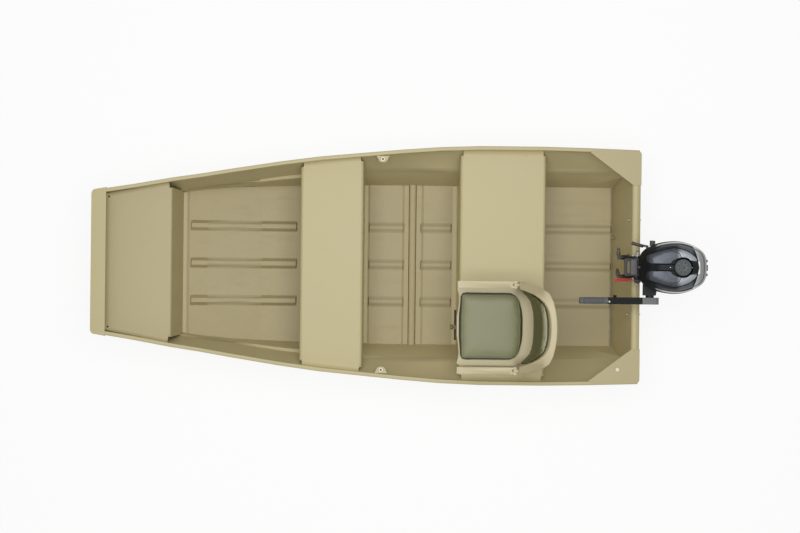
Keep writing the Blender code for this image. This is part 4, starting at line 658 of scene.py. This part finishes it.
PIN = ((0, -0.0005), (0.0062, -0.0005), (0.0062, 0.0010), (0.0054, 0.0024), (0.0034, 0.0034), (0, 0.0038))
bright_pin = Finish("bright_pin", linear(235, 232, 222), 0.18, 0.8)
bright_pin.set("Roughness", bright_pin.noise(300.0) * 0.2 + 0.12)
for side in ("port", "starboard"):
    low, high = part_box("armrest_" + side)
    spots = [(low.x + 0.0123, y, low.z + 0.014) for y in (low.y, high.y)]
    if side == "starboard":
        spots += [(high.x - 0.020, y, low.z + 0.014) for y in (low.y, high.y)]
    out = [(0, -1 if spot[1] == low.y else 1, 0) for spot in spots]
    surface("arm_pins_" + side, turned(spots, out, PIN, 20), bright_pin, "armrest_" + side)


# Cushions. The seat and back pads are foam in olive vinyl, stretched over a board and pressed into the shell. Each is
# blown up as cloth from a slightly smaller copy of its CAD solid, and a welt runs round it below the top.

CUSHION_VOXEL = 0.0055
CUSHION_INSET = 0.005
CUSHION_SWELL = 0.008
CLOTH_FRAMES = 20
CLOTH = {
    "quality": 6, "mass": 0.2, "tension_stiffness": 12.0, "compression_stiffness": 12.0, "shear_stiffness": 5.0,
    "bending_stiffness": 0.4, "use_pressure": True, "uniform_pressure_force": 4.0,
}

seat_vinyl = Finish("seat_vinyl", linear(136, 137, 103), 0.5)
# The back pad is the same olive vinyl painted darker, as shade on its upright face.
back_vinyl = Finish("back_vinyl", linear(86, 84, 44), 0.5)


def upholstered(finish, welt_axis, welt_at, painted_highlight_above=None, painted_shade_below=None):
    """Vinyl with a fine leather grain, faint wrinkles, a cloudy shade and a pressed welt at one height. It turns pale
    from one height to another, a painted highlight, and dark below the welt, painted shade at the gap to the shell."""
    cells = {"Vector": finish.place, "Scale": 520.0}
    grain = finish.node("ShaderNodeTexVoronoi", {"feature": "DISTANCE_TO_EDGE"}, cells)
    wrinkles = finish.bump(finish.noise(26.0, 3.0), 0.0012, 0.6)
    pebbled = finish.bump(finish.ramp(grain, 0.0, 0.25), 0.00018, 0.6, wrinkles)
    welt = finish.ramp(abs(finish.axes()[welt_axis] - welt_at), 0.0022, 0.0)
    finish.set("Normal", finish.bump(welt, -0.0022, 0.9, pebbled))
    cloud = finish.noise(7.0, 3.0)
    shade = finish.shaded(0.9, 1.06, cloud - welt * 0.3)
    for heights, colour in ((painted_highlight_above, linear(152, 152, 120)), (painted_shade_below, linear(50, 50, 26))):
        if heights:
            shade = finish.mixed(finish.ramp(finish.axes()[2], *heights), shade, colour)
    finish.set("Base Color", shade)
    finish.set("Roughness", cloud * 0.22 + 0.36)


def stuffed(node, finish, firm, roll=0.0):
    """A cushion in a CAD solid's place. Its skin is remeshed evenly, drawn in and swollen as cloth under pressure, and
    stays within 1 mm of the solid, or 4 mm where the solid faces the sitter, along firm. Its top rolls down to its
    edges by roll |u|^5 or |v|^7, with u and v from -1 to 1 across it."""
    mesh = frame["nodes"][node].data.copy()
    made = linked(node + "_vinyl", mesh)
    work = bmesh.new()
    work.from_mesh(mesh)
    bmesh.ops.remove_doubles(work, verts=work.verts, dist=2e-6)
    work.to_mesh(mesh)
    tree = BVHTree.FromBMesh(work)
    work.free()

    def settle():
        """Applies the modifiers on the cushion to its mesh."""
        shown = made.evaluated_get(bpy.context.evaluated_depsgraph_get())
        made.data = bpy.data.meshes.new_from_object(shown)
        made.modifiers.clear()

    even = made.modifiers.new("even", "REMESH")
    even.mode = "VOXEL"
    even.voxel_size = CUSHION_VOXEL
    rounded = made.modifiers.new("rounded", "SMOOTH")
    rounded.factor = 0.5
    rounded.iterations = 6
    settle()
    count = len(made.data.vertices)
    start = np.empty(count * 3)
    facing = np.empty(count * 3)
    made.data.vertices.foreach_get("co", start)
    made.data.vertices.foreach_get("normal", facing)
    moved = CUSHION_INSET * facing.reshape(-1, 3)
    start = start.reshape(-1, 3) - moved
    made.data.vertices.foreach_set("co", start.ravel())
    cloth = made.modifiers.new("cloth", "CLOTH")
    for setting, value in CLOTH.items():
        setattr(cloth.settings, setting, value)
    cloth.settings.effector_weights.gravity = 0.0
    cloth.point_cache.frame_end = CLOTH_FRAMES
    for tick in range(1, CLOTH_FRAMES + 1):
        bpy.context.scene.frame_set(tick)
    settle()
    bpy.context.scene.frame_set(1)
    end = np.empty(count * 3)
    made.data.vertices.foreach_get("co", end)
    moved = end.reshape(-1, 3) - start
    far = np.linalg.norm(moved, axis=1)[:, None]
    end = start + moved * np.minimum(1.0, CUSHION_SWELL / np.maximum(far, 1e-9))
    low, high = (np.array(corner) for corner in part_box(node))
    span = (high - low) / (end.max(axis=0) - end.min(axis=0))
    end = low + (end - end.min(axis=0)) * span
    if roll:
        u, v, w = ((2 * end - low - high) / (high - low)).T
        end[:, 2] -= roll * np.maximum(np.abs(u) ** 5, np.abs(v) ** 7) * np.clip((w + 1) / 2, 0.0, 1.0)
    nearest = [tree.find_nearest(Vector(point)) for point in end]
    skin = np.array([hit[0] for hit in nearest])
    out = np.array([hit[1] for hit in nearest])
    proud = ((end - skin) * out).sum(axis=1)
    allowed = 0.0008 + 0.0032 * np.clip((out * firm).sum(axis=1) * 2 - 0.6, 0.0, 1.0)
    end -= out * np.maximum(proud - allowed, 0.0)[:, None]
    made.data.vertices.foreach_set("co", end.ravel())
    made.data.materials.clear()
    made.data.materials.append(finish.material)
    made.data.polygons.foreach_set("use_smooth", np.ones(len(made.data.polygons), bool))
    finer = made.modifiers.new("finer", "SUBSURF")
    finer.levels = finer.render_levels = 1
    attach(made, frame["nodes"][node]["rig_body"])
    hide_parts(node)


# The seat's lowest band is painted dark, as shade where it meets the shell, and the back's top band pale, as a painted
# highlight.
upholstered(seat_vinyl, 2, 0.4150, painted_shade_below=(0.4140, 0.4060))
upholstered(back_vinyl, 2, 0.6830, (0.668, 0.690))
stuffed("seat_cushion", seat_vinyl, (0, 0, 1), 0.024)
stuffed("back_cushion", back_vinyl, (1, 0, 0))


# Hood. The motor's upper cowl is glossy black moulding with two graphite panels on each side of a deep groove, a
# black well round the filler cap, a slot behind it and a silver band low on the sides that wraps round the back.

HOOD_PLAN = (
    (-1.452, 0.050), (-1.460, 0.078), (-1.480, 0.0985), (-1.506, 0.112), (-1.537, 0.126), (-1.580, 0.135),
    (-1.622, 0.1386), (-1.664, 0.136), (-1.701, 0.126), (-1.732, 0.113), (-1.762, 0.0970), (-1.783, 0.080),
    (-1.796, 0.056), (-1.801, 0.022),
)
HOOD_LEVELS = (
    (0.5125, -1.453, -1.799, 0.1340), (0.545, -1.452, -1.801, 0.1386), (0.590, -1.454, -1.799, 0.1370),
    (0.635, -1.458, -1.790, 0.1300), (0.668, -1.464, -1.768, 0.1200), (0.690, -1.476, -1.745, 0.1080),
    (0.704, -1.500, -1.728, 0.0880), (0.709, -1.540, -1.700, 0.0550),
)
CAP_X = -1.648
CAP_SEAT = (0.0520, 0.7090)
WELL_WALL = ((0.0515, 0.7085), (0.0508, 0.7060), (0.0500, 0.7000), (0.0498, 0.6940), (0.0, 0.6938))
PANEL = (
    (-1.4660, 0.0300), (-1.4800, 0.0205), (-1.5024, 0.0195), (-1.5775, 0.0200), (-1.5925, 0.0335), (-1.6100, 0.0440),
    (-1.6276, 0.0500), (-1.6476, 0.0525), (-1.6726, 0.0480), (-1.6852, 0.0371), (-1.7180, 0.0320), (-1.7127, 0.0500),
    (-1.6977, 0.0650), (-1.6777, 0.0790), (-1.6376, 0.0940), (-1.6000, 0.0995), (-1.5775, 0.0960), (-1.5424, 0.0872),
    (-1.5024, 0.0747), (-1.4700, 0.0622), (-1.4640, 0.0500),
)
GROOVE_HALF, GROOVE_AFT, GROOVE_FLOOR = 0.0165, -1.612, 0.6978
SLOT_HALF, SLOT_AFT, SLOT_FORE, SLOT_FLOOR = 0.034, -1.742, -1.66, 0.6925
BAND_LOW, BAND_HIGH, BAND_BACK_HIGH = 0.612, 0.648, 0.702
TAIL_FROM, TAIL_SHORTER = -1.715, 0.0085
HOOD_ENDS = (-1.8008, -1.4522)
SPLIT = ((-1.5700, 0.1050), (-1.5990, 0.0840), (-1.6220, 0.0790), (-1.6325, 0.0665), (-1.6380, 0.0500))


def smooth_step(value):
    """0 below 0, 1 above 1 and an S between them."""
    t = np.clip(value, 0.0, 1.0)
    return t * t * (3 - 2 * t)


def from_line(x, y, corners, closed=False):
    """Each point's distance from a line of corners, and whether it lies inside when the line is closed."""
    a = np.array(corners)
    b = np.roll(a, -1, axis=0)
    if not closed:
        a, b = a[:-1], b[:-1]
    x, y = x[..., None], y[..., None]
    run_x, run_y = b[:, 0] - a[:, 0], b[:, 1] - a[:, 1]
    t = np.clip(((x - a[:, 0]) * run_x + (y - a[:, 1]) * run_y) / (run_x**2 + run_y**2), 0.0, 1.0)
    away = np.hypot(x - a[:, 0] - t * run_x, y - a[:, 1] - t * run_y).min(axis=-1)
    crossing = a[:, 0] + (y - a[:, 1]) * run_x / np.where(run_y == 0, 1e-9, run_y)
    inside = (((a[:, 1] > y) != (b[:, 1] > y)) & (x < crossing)).sum(axis=-1) % 2 == 1
    return away, inside


def hood_grid():
    """Rows of the plan's outline drawn out to each level's front, back and half width, then rows that blend to the
    circle round the cap, and the well. Lines and panels are sunk or raised by smooth steps of the distance to them."""
    port = np.array(HOOD_PLAN)
    outline = smooth_line(np.concatenate([port, port[::-1] * (1, -1)]), 360, closed=True)[0]
    share = (outline[:, 0] - port[0, 0]) / (port[-1, 0] - port[0, 0])
    width = outline[:, 1] / port[:, 1].max()
    z, fore, aft, half = smooth_line(HOOD_LEVELS, 90)[0].T[:, :, None]
    rings = np.stack([fore + share * (aft - fore), half * width, z + 0 * share], axis=-1)
    last = rings[-1]
    angle = np.arctan2(last[:, 1], last[:, 0] - CAP_X)
    seat, seat_z = CAP_SEAT
    circle = np.column_stack([CAP_X + seat * np.cos(angle), seat * np.sin(angle), seat_z + 0 * angle])
    t = np.linspace(0.0, 1.0, 30)[1:, None, None]
    blend = last + (circle - last) * t
    wall = np.array([[CAP_X + r * np.cos(angle), r * np.sin(angle), h + 0 * angle] for r, h in WELL_WALL])
    wall = wall.transpose(0, 2, 1)
    base = np.stack([rings[0] * (1, 0.97, 1), rings[0] * (1, 0, 1)])[::-1]
    grid = np.concatenate([base, rings, blend, wall])
    x, y, z = grid[..., 0], grid[..., 1], grid[..., 2]
    side = np.abs(y)
    body = (np.arange(len(grid)) >= 2) & (np.arange(len(grid)) < len(grid) - len(WELL_WALL))
    body = body[:, None] * np.ones_like(x)
    top = smooth_step((z - 0.640) / 0.02) * body
    away, inside = from_line(x, side, smooth_line(PANEL, 80, closed=True)[0], closed=True)
    signed = np.where(inside, away, -away)
    panel = smooth_step(signed / 0.0030 + 0.5) * top
    split = np.exp(-(from_line(x, side, smooth_line(SPLIT, 40)[0])[0] / 0.0013) ** 2) * top * (x > SLOT_FORE)
    groove = smooth_step((GROOVE_HALF - side) / 0.003 + 0.5) * smooth_step((x - GROOVE_AFT) / 0.004) * body
    slot = smooth_step((SLOT_HALF - side) / 0.003 + 0.5) * smooth_step((x - SLOT_AFT) / 0.004) * (x < SLOT_FORE) * body
    seam = np.exp(-((z - 0.664) / 0.0050) ** 2) * body * (1 - smooth_step((x + 1.50) / 0.01))
    flank = smooth_step((-signed - 0.0050) / 0.002) * smooth_step((z - 0.668) / 0.004) * body
    flank = flank * smooth_step((-1.500 - x) / 0.03) * smooth_step((x + 1.712) / 0.02)
    flank = flank * (1 - smooth_step((0.040 - side) / 0.004))
    z = z - 0.0030 * top * (1 - panel) - 0.0016 * split
    z = z - groove * np.maximum(z - GROOVE_FLOOR, 0.0) - slot * np.maximum(z - SLOT_FLOOR, 0.0)
    back = smooth_step((-1.7330 + 0.25 * side - x) / 0.004)
    low = BAND_LOW - 0.024 * smooth_step((TAIL_FROM - x) / 0.03)
    below = smooth_step((BAND_HIGH - z) / 0.005) + back * smooth_step((BAND_BACK_HIGH - z) / 0.003)
    band = np.clip(smooth_step((z - low) / 0.006) * below, 0.0, 1.0) * body * smooth_step((-1.512 - x) / 0.02)
    matte = (1 - np.maximum(panel, flank)) * smooth_step((x + 1.540) / 0.03) * body
    matte = np.maximum(matte, smooth_step((low - z) / 0.004))
    inward = 1 - 0.014 * seam
    x = CAP_X + (x - CAP_X) * inward
    y = y * inward
    x = x + TAIL_SHORTER * smooth_step((TAIL_FROM - x) / 0.085) * smooth_step((z - 0.520) / 0.015)
    grid = np.stack([np.clip(x, *HOOD_ENDS), y, z], axis=-1)
    dark = np.clip(split + seam, 0.0, 1.0)
    return grid, {"panel": np.maximum(panel, 0.45 * flank), "band": band, "dark": dark, "matte": matte}


hood_gloss = Finish("hood_gloss", linear(9, 14, 18), 0.2, specular_ior_level=0.15)
panel_share = hood_gloss.mark("panel")
band_share = hood_gloss.mark("band")
dark_share = hood_gloss.mark("dark")
matte_share = hood_gloss.mark("matte")
flake = hood_gloss.noise(1400.0, 1.0)
hood_x = hood_gloss.axes()[0]
graphite = hood_gloss.mixed(flake, linear(62, 65, 70), linear(78, 81, 87))
# Aft of the split the graphite is painted paler, a painted highlight on the aft panels.
graphite = hood_gloss.mixed(hood_gloss.ramp(hood_x, -1.615, -1.640), graphite, linear(140, 145, 150))
silver = hood_gloss.mixed(flake, linear(196, 200, 198), linear(224, 228, 226))
# Where it wraps round the back the silver band is painted darker, as painted shade.
silver = hood_gloss.mixed(hood_gloss.ramp(hood_x, -1.715, -1.745), silver, linear(158, 162, 159))
body_black = hood_gloss.shaded(0.8, 1.2, hood_gloss.noise(8.0))
coated = hood_gloss.mixed(band_share, hood_gloss.mixed(panel_share, body_black, graphite), silver)
hood_gloss.set("Base Color", hood_gloss.mixed(dark_share, coated, (0.004, 0.005, 0.006)))
hood_gloss.set("Metallic", (panel_share * 0.8 + band_share * 0.8) * (1 - dark_share))
dulled = panel_share * 0.14 + band_share * 0.1 + matte_share * 0.5
hood_gloss.set("Roughness", hood_gloss.noise(30.0, 3.0) * 0.08 + dulled + 0.12)
hood_gloss.set("Normal", hood_gloss.bump(hood_gloss.noise(420.0, 2.0), 0.00004, 0.4))
hood_rows, hood_marks = hood_grid()
hood = surface("hood", hood_rows, hood_gloss, "motor", hood_marks)
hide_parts("upper_cowl")


# Filler cap. A grey moulded cap with a fluted edge, a raised rim, eight finger dimples and a hub.

CAP_PROFILE = (
    (0, 0.0148), (0.006, 0.0148), (0.0080, 0.0140), (0.0090, 0.0122), (0.0120, 0.0118), (0.0160, 0.0120),
    (0.0200, 0.0124), (0.0240, 0.0126), (0.0280, 0.0126), (0.0320, 0.0124), (0.0350, 0.0122), (0.0360, 0.0128),
    (0.0368, 0.0150), (0.0380, 0.0156), (0.0405, 0.0156), (0.0422, 0.0146), (0.0429, 0.0125), (0.0429, 0.0010),
    (0.0420, 0.0), (0, 0.0),
)
CAP_BASE_Z = 0.6945
DIMPLE_RING, DIMPLE_RADIUS, DIMPLE_DEPTH = 0.0262, 0.0052, 0.0042

cap_grey = Finish("cap_grey", linear(70, 77, 77), 0.42)
moulded(cap_grey, 700.0, 0.0001, 0.85, 1.12)
profile = smooth_line(np.array(CAP_PROFILE), 110)[0]
cap_rows = turned((CAP_X, 0, CAP_BASE_Z), (0, 0, 1), np.maximum(profile, 0.0), 192, 32, 0.0009)[0]
bearing = np.arange(8) * math.pi / 4 + math.pi / 8
dimple_x = CAP_X + DIMPLE_RING * np.cos(bearing)
dimple_y = DIMPLE_RING * np.sin(bearing)
nearest = np.hypot(cap_rows[..., :1] - dimple_x, cap_rows[..., 1:2] - dimple_y).min(axis=-1)
sunk = smooth_step((DIMPLE_RADIUS - nearest) / 0.0016) * (cap_rows[..., 2] > CAP_BASE_Z + 0.008)
cap_rows[..., 2] -= DIMPLE_DEPTH * sunk
cap = surface("filler_cap", cap_rows, cap_grey, "motor")
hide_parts("fuel_cap")

# Two small bright dots sit in the groove before the cap and behind it.
DOT = ((0, -0.0010), (0.0030, -0.0010), (0.0030, 0.0006), (0.0018, 0.0016), (0, 0.0018))
DOT_PLACES = ((CAP_X + 0.066, 0, 0.6990), (CAP_X - 0.0475, 0, 0.6955))
surface("hood_dots", turned(DOT_PLACES, [(0, 0, 1)] * 2, DOT, 16), bright_pin, "motor")


# Motor. The cowl's lower half, the leg and the brackets are cast aluminium in semi-gloss black enamel, rubbed thin in
# a few places. The handles, latches and levers are black and dark grey plastic.

black_enamel = Finish("black_enamel", linear(20, 25, 28), 0.5, specular_ior_level=0.25)
bracket_enamel = Finish("bracket_enamel", linear(26, 30, 32), 0.3)
black_plastic = Finish("black_plastic", linear(30, 32, 34), 0.42)
dark_grey = Finish("dark_grey", linear(74, 72, 76), 0.45)
paddle_plastic = Finish("paddle_plastic", linear(92, 80, 76), 0.45)
lever_plastic = Finish("lever_plastic", linear(64, 56, 54), 0.45)
engine_iron = Finish("engine_iron", linear(60, 60, 60), 0.6)


def enamelled(finish, worn):
    """Semi-gloss enamel with a faint orange peel, uneven gloss and a few pale rubs."""
    rub = finish.ramp(finish.noise(24.0, 6.0), 0.66, 0.78) * worn
    finish.set("Base Color", finish.mixed(rub, finish.shaded(0.8, 1.25, finish.noise(11.0, 3.0)), (0.16, 0.16, 0.16)))
    even = finish.shader.inputs["Roughness"].default_value
    finish.set("Roughness", finish.noise(60.0, 3.0) * 0.14 + rub * 0.2 + even - 0.07)
    finish.set("Normal", finish.bump(finish.noise(520.0, 2.0), 0.00006, 0.5))


enamelled(black_enamel, 0.15)
enamelled(bracket_enamel, 0.5)
moulded(black_plastic, 800.0, 0.0001, 0.8, 1.25)
for finish in (dark_grey, paddle_plastic, lever_plastic):
    moulded(finish, 800.0, 0.0001, 0.85, 1.15)
engine_iron.set("Base Color", engine_iron.shaded(0.6, 1.2, engine_iron.noise(40.0, 4.0)))

# The tiller's arm is matt black, with a pale end at its hinge.
ARM_END_X = -1.474
arm_enamel = Finish("arm_enamel", linear(24, 28, 27), 0.55, specular_ior_level=0.12)
arm_black = arm_enamel.shaded(0.8, 1.25, arm_enamel.noise(11.0, 3.0))
arm_enamel.set("Base Color", arm_enamel.mixed(arm_enamel.axes()[0] < ARM_END_X, arm_black, linear(128, 128, 128)))
arm_enamel.set("Roughness", arm_enamel.noise(60.0, 3.0) * 0.14 + 0.48)

for nodes, finish, slot, rim in (
    (("clamp_bracket_port", "clamp_bracket_starboard", "swivel_bracket"), bracket_enamel, "black_paint", 0.0008),
    (("driveshaft_housing", "gearcase", "lower_cowl"), black_enamel, "black_paint", 0.0008),
    (("tiller_bracket", "propeller"), black_enamel, "black_paint", 0.0008),
    (("tiller_arm",), arm_enamel, "black_plastic", 0.0016),
    (("carry_handle", "cowl_latch_side", "cowl_latch_rear", "stop_switch"), black_plastic, "black_plastic", 0.0014),
    (("clamp_screw_port", "clamp_screw_starboard"), dark_grey, "black_plastic", 0.0010),
    (("starter_handle",), dark_grey, "black_plastic", 0.0030),
    (("shift_lever",), lever_plastic, "grey_plastic", 0.0012),
    (("engine_block",), engine_iron, "engine_iron", 0.0006),
):
    for node in nodes:
        finished_copy(node, finish, slot, rim=rim)

# The clamp screws' T-bars have flat moulded paddles, the shift lever a rubber end, and the tilt tube a bright nut at
# each end. The brackets are held by bright bolts.

PADDLE = ((0, 0.0), (0.0060, 0.0005), (0.0078, 0.003), (0.0086, 0.014), (0.0108, 0.030), (0.0116, 0.042),
          (0.0112, 0.054), (0.0090, 0.060), (0.0050, 0.0635), (0, 0.0645))
LEVER_END = ((0, 0.0), (0.0068, 0.0006), (0.0090, 0.003), (0.0094, 0.012), (0.0092, 0.040), (0.0080, 0.062),
             (0.0060, 0.066), (0, 0.0662))
TUBE_NUT = ((0, -0.001), (0.0120, -0.001), (0.0120, 0.0012), (0.0096, 0.0012), (0.0096, 0.0085), (0.0085, 0.0100),
            (0.0055, 0.0100), (0.0055, 0.0240), (0.0085, 0.0240), (0.0085, 0.0290), (0.0046, 0.0305), (0, 0.0305))
BOLT = ((0, -0.0005), (0.0058, -0.0005), (0.0058, 0.0034), (0.0048, 0.0044), (0, 0.0044))
BOLT_PLACES = ((-1.500, 0.350), (-1.505, 0.200), (-1.440, 0.372))
SCREW_Z = 0.262
LEVER_Z = 0.4745

for side in ("port", "starboard"):
    points = np.array([v.co for v in frame["nodes"]["clamp_screw_" + side].data.vertices])
    screw_y = np.median(points[:, 1])
    tip_y = points[np.argmax(np.abs(points[:, 1] - screw_y)), 1]
    bar_x, _, bar_z = points[np.abs(points[:, 1] - tip_y) < 0.002].mean(axis=0)
    end = np.array([bar_x, tip_y, bar_z])
    hub = np.array([bar_x, screw_y, SCREW_Z])
    bar_length = np.linalg.norm(hub - end)
    inward = (hub - end) / bar_length
    reach = min(1.0, (bar_length - 0.006) / PADDLE[-1][1])
    paddle = turned(end - inward * 0.001, inward, [(r, h * reach) for r, h in PADDLE], 24)
    surface("clamp_paddle_" + side, paddle, paddle_plastic, "hull")
tube_low, tube_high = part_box("tilt_tube")
tube_x, tube_z = (tube_low.x + tube_high.x) / 2, (tube_low.z + tube_high.z) / 2
tube_ends = [(tube_x, y, tube_z) for y in (tube_high.y, tube_low.y)]
surface("tilt_nuts", turned(tube_ends, [(0, 1, 0), (0, -1, 0)], TUBE_NUT, 6), steel, "hull")
for side, sign in (("port", 1), ("starboard", -1)):
    starts = [(x, sign * 0.3, z) for x, z in BOLT_PLACES]
    bolts = turned(*touched("clamp_bracket_" + side, starts, (0, -sign, 0)), BOLT, 6)
    surface("bracket_bolts_" + side, bolts, bright_pin, "hull")
lever_low, lever_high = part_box("shift_lever")
lever_tip = np.array([lever_high.x - 0.0010, lever_low.y + 0.0050, LEVER_Z])
lever_root = np.array([lever_low.x, lever_high.y - 0.004, LEVER_Z])
back = (lever_root - lever_tip) / np.linalg.norm(lever_root - lever_tip)
surface("shift_grip", turned(lever_tip, back, LEVER_END, 24), lever_plastic, "motor")

# A cream dot on the tiller's arm marks the grip's zero.
THROTTLE_DOT = ((0, -0.0006), (0.0051, -0.0006), (0.0051, 0.00036), (0.00306, 0.00096), (0, 0.00108))
THROTTLE_PLACE = (-1.299, 0.185)
mark = turned(*touched("tiller_arm", [(*THROTTLE_PLACE, 0.6)], (0, 0, -1)), THROTTLE_DOT, 16)
surface("throttle_mark", mark, cream, frame["nodes"]["tiller_arm"]["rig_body"])

# Two small hooks beside the rear latch hold the hood down.
HOOK = ((0, 0.0), (0.0110, 0.0), (0.0105, 0.0048), (0.0070, 0.0124), (0.0030, 0.0156), (0, 0.0160))
HOOK_Y, HOOK_Z, HOOK_SUNK = 0.036, 0.560, 0.0100
starts = [(-1.9, sign * HOOK_Y, HOOK_Z) for sign in (-1, 1)]
places = touched("upper_cowl", starts, (1, 0, 0))[0] + (HOOK_SUNK, 0, 0)
surface("hood_hooks", turned(places, [(-1, 0, 0)] * 2, HOOK, 20), black_plastic, "motor")


# Tiller grip. Soft grey rubber with rings of ribs between two plain collars, and a rounded end.

GRIP_RIBS = 22
grip_low, grip_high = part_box("tiller_grip")
rubber = Finish("grip_rubber", linear(92, 94, 98), 0.5)
moulded(rubber, 900.0, 0.0001, 0.85, 1.2)
along = np.linspace(0.0, 1.0, 240)
span = grip_high.x - grip_low.x
thick = (grip_high.z - grip_low.z) / 2
ribbed = smooth_step((along - 0.10) / 0.02) * smooth_step((0.90 - along) / 0.02)
collar = smooth_step((0.06 - along) / 0.02) + smooth_step((along - 0.93) / 0.02)
ribs = 0.0012 * (1 + np.cos(2 * math.pi * GRIP_RIBS * along))
radius = thick - 0.0026 + 0.0024 * np.clip(collar, 0, 1) + ribbed * ribs
radius = radius * np.sqrt(np.clip(1 - smooth_step((along - 0.975) / 0.025) * 0.6, 0.0, 1.0))
grip_profile = np.column_stack([np.concatenate([[0], radius, [0]]), np.concatenate([[0], along * span, [span]])])
grip_centre = (grip_low.x, (grip_low.y + grip_high.y) / 2, (grip_low.z + grip_high.z) / 2)
grip_rows = turned(grip_centre, (1, 0, 0), grip_profile, 56)
grip = surface("rubber_grip", grip_rows, rubber, frame["nodes"]["tiller_grip"]["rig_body"])
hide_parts("tiller_grip")
